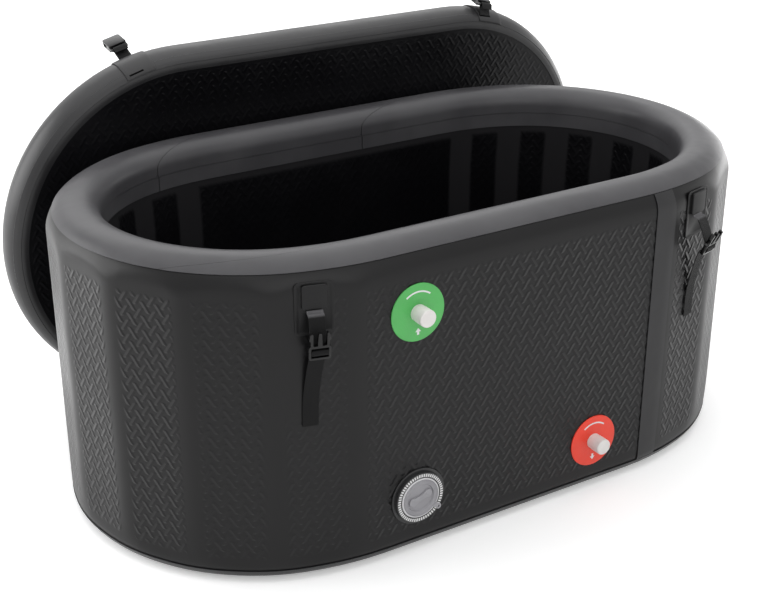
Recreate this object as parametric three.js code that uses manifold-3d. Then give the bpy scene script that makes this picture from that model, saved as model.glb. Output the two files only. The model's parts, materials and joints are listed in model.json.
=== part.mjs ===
// Inflatable oval plunge tub with a separate inflatable lid that leans against its back.
// Millimetres and degrees. X runs along the tub, the front faces -Y, Z is up.
// The origin is on the floor, under the middle of the tub.
import * as THREE from "three";
import { mergeVertices } from "three/addons/utils/BufferGeometryUtils.js";
import Module from "manifold-3d";

const wasm = await Module();
wasm.setup();

// Tub
const tubLength = 1255; // over the end creases, before their rounding
const tubWidth = 690;
const tubHeight = 535;
const wallThickness = 85;
const floorThickness = 58;
const endFacets = 8;
const firstCrease = 4; // degrees round the end where the straight side stops
const creaseRun = 14; // length of each facet that a crease's rounding takes up
const rimOuterRadius = 50;
const rimInnerRadius = 29;
const rimSeamAngle = 41; // how far up the outer rounding the rim tape starts
const rimFlapDepth = 72; // how far down inside the wall the rim tape hangs
const footRadius = 30;
const footSeamAngle = 20; // how far down the foot's rounding the base tape starts
const baseTapeLap = 28; // how far the base tape runs in under the wall

// Skins, tapes and clearances
const tapeThickness = 1.5;
const sheetThickness = 1.5;
const seatGap = 0.3;
const slotClearance = 1; // room beside webbing in a slot

// Seam strip, placed from the front right crease
const seamStripWidth = 42;
const seamStripFromCrease = 40;
const seamMargin = 1; // degrees of the roundings left between the strip and the tapes

// Water fittings, placed from the front creases, the rim and the floor
const inletFromCrease = 104;
const inletDrop = 112;
const outletFromCrease = 146;
const outletHeight = 94;
const discRadius = 47;
const discThickness = 2;
const stemRadius = 10;
const stemBoreRadius = 7;
const stemInnerReach = 4; // stem that stands out past its lock nut
const collarRadius = 13.5;
const collarThickness = 2;
const spigotLength = 20;
const waterCapRadius = 14;
const waterCapLength = 26;
const waterCapEdge = 2;
const washerRadius = 25;
const washerThickness = 2.5;
const lockNutFlats = 42;
const lockNutThickness = 9;

// Inflation valve
const valveFromCrease = 108;
const valveHeight = 102;
const flangeRadius = 49;
const flangeThickness = 2.5;
const bezelRadius = 44;
const bezelHeight = 9;
const bezelWall = 5;
const ledgeHeight = 3.5; // the ledge inside the bezel that the sealing ring lies on
const socketRadius = 26;
const socketWall = 4;
const socketDepth = 22;
const seatThickness = 4;
const plungerStemRadius = 3;
const ventCount = 6; // air holes through the seat, round the plunger's stem
const ventRadius = 2.6;
const ventCircle = 10;
const plungerHeadRadius = 8;
const plungerHeadThickness = 3;
const plungerHeadDepth = 9; // from the wall's face in to the head
const plungerSealRadius = 14;
const plungerSealThickness = 3;
const plungerTravel = 5;
const springWireRadius = 0.45;
const springRadius = 5.5;
const springTurns = 3;
const springEndGap = 0.5;
const backNutWall = 7;
const backNutThickness = 8;
const backNutDepth = 3;
const sealRingThickness = 1.5;
const sealRingWidth = 8;
const valveCapProud = 1;
const valvePlugDepth = 4;
const gripRecessRadius = 25;
const gripRecessDepth = 3;
const gripLength = 44;
const gripWidth = 15;
const gripWaist = 3; // how much the grip narrows at its middle
const gripProud = 4;
const gripTurn = 18;
const eyeletRadius = 5;
const eyeletHole = 2;
const eyeletReach = 3; // from the bezel's inner wall out to the eyelet's centre
const eyeletTurn = -37;
const eyeletLift = 0.5;
const eyeletThickness = 2;

// Straps and side-release buckles
const strapDrop = 74; // from the rim down to the webbing slot
const webWidth = 25;
const webThickness = 1.6;
const tailLength = 187;
const tailStandOff = 4;
const patchWidth = 60;
const patchAbove = 44;
const patchBelow = 39;
const patchRadius = 8;
const patchThickness = 1.5;
const coverWidth = 38;
const coverHeight = 36;
const coverThickness = 3.6;
const coverLip = 2.4; // room for the webbing to turn under the cover
const coverSlotDepth = 6;
const buckleWidth = 33;
const buckleThickness = 7;
const barRadius = 2;
const barSlot = 6;
const buckleRail = 3.5;
const armLength = 22;
const armWidth = 3.6;
const barbReach = 2.6;
const guideWidth = 7;
const socketLength = 34;
const socketThickness = 12;
const socketShell = 2;
const socketWindow = 13;
const windowFromMouth = 6;
const lidWebReach = 20; // from its slit to the buckle's bar
const lidWebReturn = 9;

// How each tub strap hangs: outward swing of its webbing and lean of its buckle
const tubStraps = [
  { name: "front_left", end: -1, side: -1, swing: 23, lean: 8 },
  { name: "front_right", end: 1, side: -1, swing: 28, lean: 25 },
  { name: "back_left", end: -1, side: 1, swing: 7, lean: 0 },
  { name: "back_right", end: 1, side: 1, swing: 7, lean: 0 },
];
const strapReach = 60;

// Lid
const lidEndOverhang = 4;
const lidSideInset = 4;
const lidThickness = 80;
const lidBulge = 27; // how far the air-blown edge stands out past the faces
const lidBorder = 31; // edge tape, from the outline in over each face
const lidFacets = 18;
const lidLean = 6;
const lidShift = 37; // along the tub, from the middle
const lidPatchWidth = 58;
const lidValveFromEnd = 120;
const lidSlit = 45; // degrees round the bulge from its crest to a patch's webbing slit
// How each lid strap lies: the slit it comes from (1 on the tub's side), how far along its patch,
// and how far its webbing and its buckle lean away from the tub
const lidStraps = [
  { name: "upper_left", end: -1, side: 1, slit: -1, along: 0, webLean: 60, buckleLean: 88 },
  { name: "upper_right", end: 1, side: 1, slit: 1, along: -14, webLean: 30, buckleLean: 80 },
  { name: "lower_left", end: -1, side: -1, slit: -1, along: 0, webLean: 60, buckleLean: 92 },
  { name: "lower_right", end: 1, side: -1, slit: -1, along: 0, webLean: 60, buckleLean: 92 },
];

// How finely round forms are divided
const roundSides = 16;
const ventSides = 8;
const arcSteps = 3;
const creaseSteps = 1;
const lidArcSteps = 8;
const springSteps = 8;
const springSides = 3;
const webSplit = 2; // pieces of webbing between two stations of its path

const radians = THREE.MathUtils.degToRad;

const finishes = {
  skin: finish(0x2a2a2c, 0.55),
  tape: finish(0x3b3b3e, 0.45),
  webbing: finish(0x19191a, 0.8),
  buckle: finish(0x151516, 0.5),
  rubber: finish(0x1c1c1c, 0.7),
  green: finish(0x4fae57, 0.4),
  red: finish(0xf0442b, 0.4),
  white: finish(0xebe6e3, 0.35),
  valveBlack: finish(0x1d1d1f, 0.45),
  valveGrey: finish(0x9a9a9f, 0.45),
  steel: finish(0xb4b6b8, 0.3, 0.9),
};

function finish(color, roughness, metalness = 0) {
  return new THREE.MeshStandardMaterial({ color, roughness, metalness });
}

function addPiece(parent, name, geometry, material) {
  const mesh = new THREE.Mesh(geometry, material);
  mesh.name = name;
  parent.add(mesh);
  return mesh;
}

// Solid booleans
function toSolid(geometry) {
  const loose = geometry.index ? geometry.toNonIndexed() : geometry;
  const bare = new THREE.BufferGeometry();
  bare.setAttribute("position", loose.getAttribute("position"));
  const merged = mergeVertices(bare, 1e-3);
  return new wasm.Manifold(
    new wasm.Mesh({
      numProp: 3,
      vertProperties: merged.getAttribute("position").array,
      triVerts: new Uint32Array(merged.index.array),
    }),
  );
}

function toGeometry(solid) {
  const { vertProperties, triVerts } = solid.getMesh();
  const geometry = new THREE.BufferGeometry();
  geometry.setAttribute("position", new THREE.BufferAttribute(vertProperties, 3));
  geometry.setIndex(new THREE.BufferAttribute(triVerts, 1));
  return geometry;
}

function cut(geometry, ...tools) {
  return toGeometry(tools.reduce((left, tool) => left.subtract(toSolid(tool)), toSolid(geometry)));
}

function join(geometry, ...others) {
  return toGeometry(others.reduce((sum, other) => sum.add(toSolid(other)), toSolid(geometry)));
}

function common(geometry, tool) {
  return toGeometry(toSolid(geometry).intersect(toSolid(tool)));
}

function block(low, high) {
  const size = new THREE.Vector3().subVectors(high, low);
  const middle = new THREE.Vector3().addVectors(low, high).multiplyScalar(0.5);
  return new THREE.BoxGeometry(size.x, size.y, size.z).translate(middle.x, middle.y, middle.z);
}

// Oval outlines: two straight sides joined by ends of flat facets with rounded creases
const tubOval = {
  length: tubLength,
  width: tubWidth,
  facets: endFacets,
  firstCrease,
  creaseRun,
};
const lidOval = {
  length: tubLength + 2 * lidEndOverhang,
  width: tubWidth - 2 * lidSideInset,
  facets: lidFacets,
  firstCrease: 0,
  creaseRun: 0,
};

function endOf(oval) {
  const first = radians(oval.firstCrease);
  const radius = oval.width / 2 / Math.cos(first);
  const step = (Math.PI - 2 * first) / oval.facets;
  return { first, radius, step, straight: oval.length / 2 - radius };
}

function inwardNormal(from, to) {
  return new THREE.Vector2(from.y - to.y, to.x - from.x).normalize();
}

function neighbours(points, i) {
  const count = points.length;
  return [points[(i + count - 1) % count], points[(i + 1) % count]];
}

function ovalOutline(oval, inset) {
  const { first, radius, step, straight } = endOf(oval);
  const corners = [];
  for (const end of [1, -1]) {
    for (let i = 0; i <= oval.facets; i++) {
      const angle = first + i * step;
      const x = end * (straight + radius * Math.sin(angle));
      corners.push(new THREE.Vector2(x, -end * radius * Math.cos(angle)));
    }
  }
  const moved = corners.map((corner, i) => {
    const [before, after] = neighbours(corners, i);
    const one = inwardNormal(before, corner);
    const two = inwardNormal(corner, after);
    const share = inset / (1 + one.dot(two));
    return corner.clone().addScaledVector(one.add(two), share);
  });
  if (!oval.creaseRun) return moved;
  return moved.flatMap((corner, i) => {
    const [start, end] = neighbours(moved, i).map((other) =>
      other.clone().sub(corner).setLength(oval.creaseRun).add(corner),
    );
    return new THREE.QuadraticBezierCurve(start, corner, end).getPoints(creaseSteps);
  });
}

// A solid skinned over outlines of one oval, each given as [inset, height].
// A closed profile makes a ring; an open one is capped at both ends.
function ovalLoft(oval, profile, closed) {
  const rings = profile.map(([inset]) => ovalOutline(oval, inset));
  const across = rings[0].length;
  const positions = rings.flatMap((ring, i) => ring.flatMap((p) => [p.x, p.y, profile[i][1]]));
  const triangles = [];
  const spans = closed ? rings.length : rings.length - 1;
  for (let i = 0; i < spans; i++) {
    const lower = i * across;
    const upper = ((i + 1) % rings.length) * across;
    for (let k = 0; k < across; k++) {
      const next = (k + 1) % across;
      triangles.push(lower + k, lower + next, upper + next);
      triangles.push(lower + k, upper + next, upper + k);
    }
  }
  if (!closed) {
    const top = (rings.length - 1) * across;
    for (const [a, b, c] of THREE.ShapeUtils.triangulateShape(rings[0], [])) {
      triangles.push(c, b, a);
      triangles.push(top + a, top + b, top + c);
    }
  }
  const geometry = new THREE.BufferGeometry();
  geometry.setAttribute("position", new THREE.Float32BufferAttribute(positions, 3));
  geometry.setIndex(triangles);
  return geometry;
}

// Points of an arc as [inset, height]; angles are degrees from straight out, turning upwards.
function sectionArc(centreInset, centreHeight, radius, from, to) {
  return Array.from({ length: arcSteps + 1 }, (_, i) => {
    const angle = radians(from + ((to - from) * i) / arcSteps);
    return [centreInset - radius * Math.cos(angle), centreHeight + radius * Math.sin(angle)];
  });
}

// A strip of tape: the skin's curve pushed out to its two faces
function tapeProfile(curve, lift) {
  return [...curve(lift + tapeThickness), ...curve(lift).reverse()];
}

// Turned pieces about Y, from a closed profile of [radius, y] points or one that meets the axis
function turned(profile, sides = roundSides) {
  const points = profile.map(([radius, y]) => new THREE.Vector2(radius, y));
  if (points[0].x > 0) points.push(points[0].clone());
  return new THREE.LatheGeometry(points, sides);
}

function rod(radius, from, to, sides = roundSides) {
  const profile = [
    [0, from],
    [radius, from],
    [radius, to],
    [0, to],
  ];
  return turned(profile, sides);
}

function ring(inner, outer, from, to) {
  return turned([
    [inner, from],
    [outer, from],
    [outer, to],
    [inner, to],
  ]);
}

function roundedRectangle(left, bottom, right, top, radius) {
  const shape = new THREE.Shape();
  shape.absarc(right - radius, bottom + radius, radius, -Math.PI / 2, 0);
  shape.absarc(right - radius, top - radius, radius, 0, Math.PI / 2);
  shape.absarc(left + radius, top - radius, radius, Math.PI / 2, Math.PI);
  shape.absarc(left + radius, bottom + radius, radius, Math.PI, (3 * Math.PI) / 2);
  return shape;
}

function rectanglePath(left, bottom, right, top) {
  const path = new THREE.Path();
  path.moveTo(left, bottom).lineTo(left, top).lineTo(right, top).lineTo(right, bottom);
  path.closePath();
  return path;
}

function slab(shape, thickness, segments = 2) {
  const options = { depth: thickness, bevelEnabled: false, curveSegments: segments };
  return new THREE.ExtrudeGeometry(shape, options);
}

// Webbing: a flat ribbon whose edge-on path is drawn in x and y, with its width along Z
function ribbon(stations) {
  const path = new THREE.CatmullRomCurve3(stations.map(([x, y]) => new THREE.Vector3(x, y, 0)));
  const steps = webSplit * (stations.length - 1);
  const half = webThickness / 2;
  const sides = [half, -half].map((offset) =>
    path.getPoints(steps).map((point, i) => {
      const along = path.getTangent(i / steps);
      return new THREE.Vector2(point.x - along.y * offset, point.y + along.x * offset);
    }),
  );
  const shape = new THREE.Shape([...sides[0], ...sides[1].reverse()]);
  return slab(shape, webWidth).translate(0, 0, -webWidth / 2);
}

// Tub wall, its tapes, floor and sheet
const wallTop = tubHeight - tapeThickness - seatGap;
const wallBottom = sheetThickness + seatGap;
const rimOuter = Math.min(rimOuterRadius, wallThickness - rimInnerRadius);
const floorTop = wallBottom + floorThickness;
const frontFace = -tubWidth / 2;
const tubEnd = endOf(tubOval);
const creaseX = tubEnd.straight + tubEnd.radius * Math.sin(tubEnd.first);

function rimArc(push, from) {
  return sectionArc(rimOuter, wallTop - rimOuter, rimOuter + push, from, 90);
}

function rimInnerArc(push) {
  const centre = wallThickness - rimInnerRadius;
  return sectionArc(centre, wallTop - rimInnerRadius, rimInnerRadius + push, 90, 180);
}

function footArc(push, to) {
  return sectionArc(footRadius, wallBottom + footRadius, footRadius + push, -90, to);
}

function rimTapeCurve(push) {
  const flapEnd = [wallThickness + push, tubHeight - rimFlapDepth];
  return [...rimArc(push, rimSeamAngle), ...rimInnerArc(push), flapEnd];
}

function baseTapeCurve(push) {
  return [[footRadius + baseTapeLap, wallBottom - push], ...footArc(push, -footSeamAngle)];
}

// The wall's outer skin between the two tapes, kept back from both by an angle
function outerSkinCurve(push, margin) {
  const lowSeam = footArc(push, margin - footSeamAngle).pop();
  const topRadius = rimOuter + push;
  const top = sectionArc(rimOuter, wallTop - rimOuter, topRadius, 0, rimSeamAngle - margin);
  return [lowSeam, [-push, wallBottom + footRadius], ...top];
}

function innerSkinCurve(push) {
  return [
    [wallThickness + push, tubHeight - rimFlapDepth - seatGap],
    [wallThickness + push, floorTop + seatGap],
  ];
}

function buildWall(fittings) {
  const skin = [
    ...footArc(0, -footSeamAngle),
    ...outerSkinCurve(0, 0).slice(1),
    ...rimArc(0, rimSeamAngle).slice(1),
    ...rimInnerArc(0),
    [wallThickness, wallBottom],
  ];
  const solid = ovalLoft(tubOval, skin, true);
  const holes = fittings.map(({ x, height, radius, depth }) =>
    rod(radius, -slotClearance, depth).translate(x, frontFace, height),
  );
  return cut(solid, ...holes);
}

function buildFloor() {
  const inset = wallThickness + seatGap;
  const edge = tapeThickness;
  const profile = [
    [inset, wallBottom],
    [inset, floorTop - edge],
    [inset + edge, floorTop],
  ];
  return ovalLoft(tubOval, profile, false);
}

function buildBaseSheet() {
  const inset = footRadius + baseTapeLap + seatGap;
  const profile = [
    [inset, 0],
    [inset, sheetThickness],
  ];
  return ovalLoft(tubOval, profile, false);
}

// A length of strip cut out of a band of tape that runs right round the tub
function seamStrip(curve) {
  const band = ovalLoft(tubOval, tapeProfile(curve, seatGap), true);
  const right = creaseX - seamStripFromCrease + seamStripWidth;
  const low = new THREE.Vector3(right - seamStripWidth, -tubWidth, 0);
  const high = new THREE.Vector3(right, 0, tubHeight);
  return common(band, block(low, high));
}

// Water fittings: Y is 0 on the wall's outer face and grows inwards
const discFront = -seatGap - discThickness;
const collarBack = discFront - seatGap;
const collarFront = collarBack - collarThickness;
const spigotEnd = collarFront - spigotLength;
const washerStart = wallThickness + seatGap;
const nutStart = washerStart + washerThickness + seatGap;
const stemEnd = nutStart + lockNutThickness + stemInnerReach;
const stemFit = stemRadius + seatGap;

function buildStem() {
  return turned([
    [stemBoreRadius, spigotEnd],
    [stemRadius, spigotEnd],
    [stemRadius, collarFront],
    [collarRadius, collarFront],
    [collarRadius, collarBack],
    [stemRadius, collarBack],
    [stemRadius, stemEnd],
    [stemBoreRadius, stemEnd],
  ]);
}

function buildWaterCap() {
  const back = collarFront - seatGap;
  const front = back - waterCapLength;
  const inside = spigotEnd - seatGap;
  return turned([
    [0, front],
    [waterCapRadius - waterCapEdge, front],
    [waterCapRadius, front + waterCapEdge],
    [waterCapRadius, back],
    [stemFit, back],
    [stemFit, inside],
    [0, inside],
  ]);
}

function buildLockNut() {
  const hexagon = new THREE.Shape();
  const corner = lockNutFlats / 2 / Math.cos(Math.PI / 6);
  for (let i = 0; i < 6; i++) {
    const angle = (i * Math.PI) / 3;
    const method = i ? "lineTo" : "moveTo";
    hexagon[method](corner * Math.cos(angle), corner * Math.sin(angle));
  }
  hexagon.closePath();
  hexagon.holes.push(new THREE.Path().absarc(0, 0, stemFit, 0, 2 * Math.PI));
  const nut = slab(hexagon, lockNutThickness, roundSides / 2);
  return nut.rotateX(-Math.PI / 2).translate(0, nutStart, 0);
}

function addFitting(parent, name, x, height, material) {
  const fitting = new THREE.Group();
  fitting.position.set(x, frontFace, height);
  parent.add(fitting);
  const disc = ring(stemFit, discRadius, discFront, -seatGap);
  addPiece(fitting, `${name}_disc`, disc, material);
  addPiece(fitting, `${name}_stem`, buildStem(), finishes.white);
  const washer = ring(stemFit, washerRadius, washerStart, washerStart + washerThickness);
  addPiece(fitting, `${name}_washer`, washer, finishes.rubber);
  addPiece(fitting, `${name}_lock_nut`, buildLockNut(), finishes.white);
  addPiece(fitting, `${name}_cap`, buildWaterCap(), finishes.white);
}

// Inflation valve: Y is 0 on the skin and grows inwards
const barrelRadius = socketRadius + socketWall;
const bezelInner = bezelRadius - bezelWall;
const seatBack = socketDepth + seatThickness;
const backNutRadius = barrelRadius + seatGap + backNutWall;
const valvePocketRadius = backNutRadius + seatGap;
const sealBack = seatBack + seatGap + plungerSealThickness;
const valvePocketDepth = sealBack + plungerTravel + slotClearance;
const sealRingFront = -ledgeHeight - seatGap - sealRingThickness;
const capBack = sealRingFront - seatGap;
const capFront = -bezelHeight - valveCapProud;

function buildValveBody() {
  const guide = plungerStemRadius + seatGap;
  const body = turned([
    [guide, socketDepth],
    [socketRadius, socketDepth],
    [socketRadius, -ledgeHeight],
    [bezelInner, -ledgeHeight],
    [bezelInner, -bezelHeight],
    [bezelRadius, -bezelHeight],
    [bezelRadius + slotClearance, -seatGap - flangeThickness],
    [flangeRadius, -seatGap - flangeThickness],
    [flangeRadius, -seatGap],
    [barrelRadius, -seatGap],
    [barrelRadius, seatBack],
    [guide, seatBack],
  ]);
  const vents = Array.from({ length: ventCount }, (_, i) => {
    const ends = [socketDepth - slotClearance, seatBack + slotClearance];
    const vent = rod(ventRadius, ...ends, ventSides);
    return vent.translate(ventCircle, 0, 0).rotateY((2 * Math.PI * i) / ventCount);
  });
  return cut(body, ...vents);
}

function gripShape() {
  const end = gripLength / 2;
  const half = gripWidth / 2;
  const waist = half - gripWaist;
  const shape = new THREE.Shape();
  shape.moveTo(-end + half, -half);
  shape.quadraticCurveTo(0, -half + 2 * (half - waist), end - half, -half);
  shape.absarc(end - half, 0, half, -Math.PI / 2, Math.PI / 2);
  shape.quadraticCurveTo(0, half - 2 * (half - waist), -end + half, half);
  shape.absarc(-end + half, 0, half, Math.PI / 2, (3 * Math.PI) / 2);
  return shape;
}

// A tab that runs from under the cap's rim out to a round end with a hole
function eyeletShape() {
  const centre = bezelInner + eyeletReach;
  const shape = new THREE.Shape();
  shape.moveTo(bezelInner - 2 * eyeletRadius, -eyeletRadius);
  shape.absarc(centre, 0, eyeletRadius, -Math.PI / 2, Math.PI / 2);
  shape.lineTo(bezelInner - 2 * eyeletRadius, eyeletRadius);
  shape.closePath();
  shape.holes.push(new THREE.Path().absarc(centre, 0, eyeletHole, 0, 2 * Math.PI));
  return shape;
}

function buildValveCap() {
  const recessFloor = capFront + gripRecessDepth;
  const plugRadius = socketRadius - seatGap;
  const rim = bezelInner - seatGap;
  const body = turned([
    [0, recessFloor],
    [gripRecessRadius - gripRecessDepth, recessFloor],
    [gripRecessRadius, capFront],
    [rim - slotClearance, capFront],
    [rim, capFront + slotClearance],
    [rim, capBack],
    [plugRadius, capBack],
    [plugRadius, valvePlugDepth],
    [0, valvePlugDepth],
  ]);
  const gripDepth = gripProud + gripRecessDepth + slotClearance;
  const grip = slab(gripShape(), gripDepth, 5);
  grip.rotateX(Math.PI / 2).translate(0, recessFloor + slotClearance, 0);
  grip.rotateY(-radians(gripTurn));
  const eyelet = slab(eyeletShape(), eyeletThickness).rotateX(Math.PI / 2);
  eyelet.translate(0, -bezelHeight - eyeletLift, 0).rotateY(-radians(eyeletTurn));
  return join(body, grip, eyelet);
}

const plungerHeadBack = plungerHeadDepth + plungerHeadThickness;

function buildPlunger() {
  return turned([
    [0, plungerHeadDepth],
    [plungerHeadRadius, plungerHeadDepth],
    [plungerHeadRadius, plungerHeadBack],
    [plungerStemRadius, plungerHeadBack],
    [plungerStemRadius, seatBack + seatGap],
    [plungerSealRadius, seatBack + seatGap],
    [plungerSealRadius, sealBack],
    [0, sealBack],
  ]);
}

// A coil spring round the stem, between the plunger's head and the seat
class SpringPath extends THREE.Curve {
  constructor(from, to) {
    super();
    this.from = from;
    this.rise = to - from;
  }

  getPoint(t, target = new THREE.Vector3()) {
    const angle = 2 * Math.PI * springTurns * t;
    const y = this.from + this.rise * t;
    return target.set(springRadius * Math.cos(angle), y, springRadius * Math.sin(angle));
  }
}

function buildSpring() {
  const inset = springEndGap + springWireRadius;
  const path = new SpringPath(plungerHeadBack + inset, socketDepth - inset);
  const wire = new THREE.Shape();
  wire.absarc(0, 0, springWireRadius, 0, 2 * Math.PI);
  return new THREE.ExtrudeGeometry(wire, {
    extrudePath: path,
    steps: springTurns * springSteps,
    curveSegments: springSides,
    bevelEnabled: false,
  });
}

function addValve(parent, name) {
  const nutInner = barrelRadius + seatGap;
  const nut = ring(nutInner, backNutRadius, backNutDepth, backNutDepth + backNutThickness);
  const sealInner = socketRadius + slotClearance;
  const seal = ring(sealInner, sealInner + sealRingWidth, sealRingFront, -ledgeHeight - seatGap);
  addPiece(parent, `${name}_body`, buildValveBody(), finishes.valveBlack);
  addPiece(parent, `${name}_back_nut`, nut, finishes.valveBlack);
  addPiece(parent, `${name}_seal_ring`, seal, finishes.rubber);
  addPiece(parent, `${name}_cap`, buildValveCap(), finishes.valveGrey);
  addPiece(parent, `${name}_plunger`, buildPlunger(), finishes.valveBlack);
  addPiece(parent, `${name}_spring`, buildSpring(), finishes.steel);
}

// Buckles lie flat in x and y, with the bar at the origin and the mating end towards +y
const frameEnd = barRadius + barSlot + buckleRail;
const slotHalf = webWidth / 2 + slotClearance / 2;

function mirrored(half) {
  const other = half.map(([x, y]) => [-x, y]).reverse();
  const points = [...half, ...other].map(([x, y]) => new THREE.Vector2(x, y));
  return new THREE.Shape(points);
}

function buildMaleBuckle() {
  const half = buckleWidth / 2;
  const tip = frameEnd + armLength;
  const armOuter = half - barbReach;
  const armInner = armOuter - armWidth;
  const guide = guideWidth / 2;
  const barb = frameEnd + armLength / 2;
  const shape = mirrored([
    [half - barRadius, -frameEnd],
    [half, -frameEnd + barRadius],
    [half, frameEnd - barRadius],
    [armOuter, frameEnd],
    [armOuter, barb - barbReach],
    [half, barb],
    [armOuter, tip - barRadius],
    [armInner + barRadius, tip],
    [armInner, tip - barRadius],
    [armInner, frameEnd + barRadius],
    [armInner - barRadius, frameEnd],
    [guide, frameEnd],
    [guide - barRadius / 2, tip - barRadius],
    [guide - barRadius, tip - barRadius / 2],
  ]);
  for (const side of [1, -1]) {
    const low = side > 0 ? barRadius : -barRadius - barSlot;
    shape.holes.push(rectanglePath(-slotHalf, low, slotHalf, low + barSlot));
  }
  return slab(shape, buckleThickness).translate(0, 0, -buckleThickness / 2);
}

function buildFemaleBuckle() {
  const half = buckleWidth / 2;
  const low = -barRadius;
  const bodyStart = barRadius + barSlot;
  const mouth = bodyStart + socketLength;
  const outline = roundedRectangle(-half, low, half, mouth, 2 * barRadius);
  outline.holes.push(rectanglePath(-slotHalf, barRadius, slotHalf, bodyStart));
  const body = slab(outline, socketThickness).translate(0, 0, -socketThickness / 2);
  const inside = socketThickness / 2 - socketShell;
  const socket = block(
    new THREE.Vector3(-half + 2 * socketShell, bodyStart + 2 * socketShell, -inside),
    new THREE.Vector3(half - 2 * socketShell, mouth + slotClearance, inside),
  );
  const windowStart = mouth - windowFromMouth - socketWindow;
  const window = block(
    new THREE.Vector3(-half - slotClearance, windowStart, -inside + socketShell / 2),
    new THREE.Vector3(half + slotClearance, windowStart + socketWindow, inside - socketShell / 2),
  );
  const thinning = [1, -1].map((face) => {
    const near = face * barRadius;
    const far = face * (socketThickness / 2 + slotClearance);
    return block(
      new THREE.Vector3(-half - slotClearance, low - slotClearance, Math.min(near, far)),
      new THREE.Vector3(half + slotClearance, bodyStart, Math.max(near, far)),
    );
  });
  return cut(body, socket, window, ...thinning);
}

// Tub straps: in each strap's own frame -Y points out of the facet and Z up, from its webbing slot
const patchFront = seatGap + patchThickness;
const webRoot = patchFront + seatGap + webThickness / 2;
const barPitch = barRadius + barSlot / 2;

function buildPatch() {
  const half = patchWidth / 2;
  const plate = roundedRectangle(-half, -patchBelow, half, patchAbove, patchRadius);
  const coverHalf = coverWidth / 2;
  const coverTop = coverLip + coverHeight;
  const cover = roundedRectangle(-coverHalf, coverLip, coverHalf, coverTop, patchRadius / 2);
  const slot = block(
    new THREE.Vector3(-slotHalf, coverLip - slotClearance, patchThickness),
    new THREE.Vector3(slotHalf, coverLip + coverSlotDepth, patchThickness + webThickness + slotClearance / 2),
  );
  const layers = join(slab(plate, patchThickness), slab(cover, patchThickness + coverThickness));
  return cut(layers, slot).translate(0, 0, seatGap).rotateX(Math.PI / 2);
}

// The webbing's path as [out, up]: from the slot, over the buckle's bar and down to its tail
function tubWebPath(buckle, tailEnd) {
  const face = buckleThickness / 2;
  const half = webThickness / 2;
  // Stations on the way to the bar: along the buckle from the bar, and back from its middle plane
  const upper = [
    [barRadius + barSlot + barRadius, face + seatGap + webThickness + half],
    [barPitch + half, face],
    [barPitch - half, 0],
    [barRadius + webThickness, -face],
  ];
  const lower = upper.map(([along, back]) => [-along, back]).reverse();
  const over = [0, -face - webThickness];
  const woven = [...upper, over, ...lower].map(([along, back]) => [
    buckle.out + along * buckle.axis[0] - back * buckle.axis[1],
    buckle.up + along * buckle.axis[1] + back * buckle.axis[0],
  ]);
  const [out, up] = woven[woven.length - 1];
  const tail = [
    [(out + tailStandOff) / 2, (2 * up + tailEnd) / 3],
    [tailStandOff, (up + 2 * tailEnd) / 3],
    [tailStandOff, tailEnd],
  ];
  return [[webRoot, 0], ...woven, ...tail];
}

function addTubStrap(parent, { name, end, side, swing, lean }) {
  const facet = tubEnd.first + tubEnd.step / 2;
  const apothem = tubEnd.radius * Math.cos(tubEnd.step / 2);
  const strap = new THREE.Group();
  const x = end * (tubEnd.straight + apothem * Math.sin(facet));
  strap.position.set(x, side * apothem * Math.cos(facet), tubHeight - strapDrop);
  strap.rotation.z = Math.atan2(end * Math.sin(facet), -side * Math.cos(facet));
  parent.add(strap);
  addPiece(strap, `strap_patch_${name}`, buildPatch(), finishes.tape);

  const pivot = new THREE.Group();
  pivot.name = `pivot_tub_strap_${name}`;
  pivot.position.set(0, -webRoot, 0);
  strap.add(pivot);
  const buckle = {
    out: webRoot + strapReach * Math.sin(radians(swing)),
    up: -strapReach * Math.cos(radians(swing)),
    axis: [Math.sin(radians(lean)), Math.cos(radians(lean))],
  };
  const edgeOn = new THREE.Matrix4().makeBasis(
    new THREE.Vector3(0, -1, 0),
    new THREE.Vector3(0, 0, 1),
    new THREE.Vector3(-1, 0, 0),
  );
  const web = ribbon(tubWebPath(buckle, -tailLength)).applyMatrix4(edgeOn).translate(0, webRoot, 0);
  addPiece(pivot, `strap_webbing_${name}`, web, finishes.webbing);
  const male = buildMaleBuckle().rotateX(Math.PI / 2 + radians(lean));
  male.translate(0, webRoot - buckle.out, buckle.up);
  addPiece(pivot, `strap_buckle_${name}`, male, finishes.buckle);
}

// Lid, modelled flat: X along, Y across, Z out of the face that is turned to the tub
const lidHalf = lidThickness / 2 - tapeThickness - seatGap;
const lidEnd = endOf(lidOval);

function lidEdgeArc(push) {
  return Array.from({ length: lidArcSteps + 1 }, (_, i) => {
    const angle = -Math.PI / 2 + (Math.PI * i) / lidArcSteps;
    const inset = lidBulge - (lidBulge + push) * Math.cos(angle);
    return [inset, (lidHalf + push) * Math.sin(angle)];
  });
}

function lidTapeCurve(push) {
  const lap = lidHalf + push;
  return [[lidBorder, -lap], ...lidEdgeArc(push), [lidBorder, lap]];
}

// A strap's facet of the lid's outline: its middle and the way it faces
function lidStrapPlace({ end, side }) {
  const strapAngle = tubEnd.first + tubEnd.step / 2;
  const facet = Math.round(strapAngle / lidEnd.step - 0.5);
  const angle = (facet + 0.5) * lidEnd.step;
  const out = new THREE.Vector2(end * Math.sin(angle), side * Math.cos(angle));
  const foot = out.clone().multiplyScalar(lidEnd.radius * Math.cos(lidEnd.step / 2));
  foot.x += end * lidEnd.straight;
  return { foot, turn: Math.atan2(-out.x, out.y) };
}

const lidPatchLift = seatGap + tapeThickness + seatGap;
const lidPatchTop = lidPatchLift + patchThickness;
const lidLoop = barRadius * Math.SQRT2 + seatGap + webThickness / 2;

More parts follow.
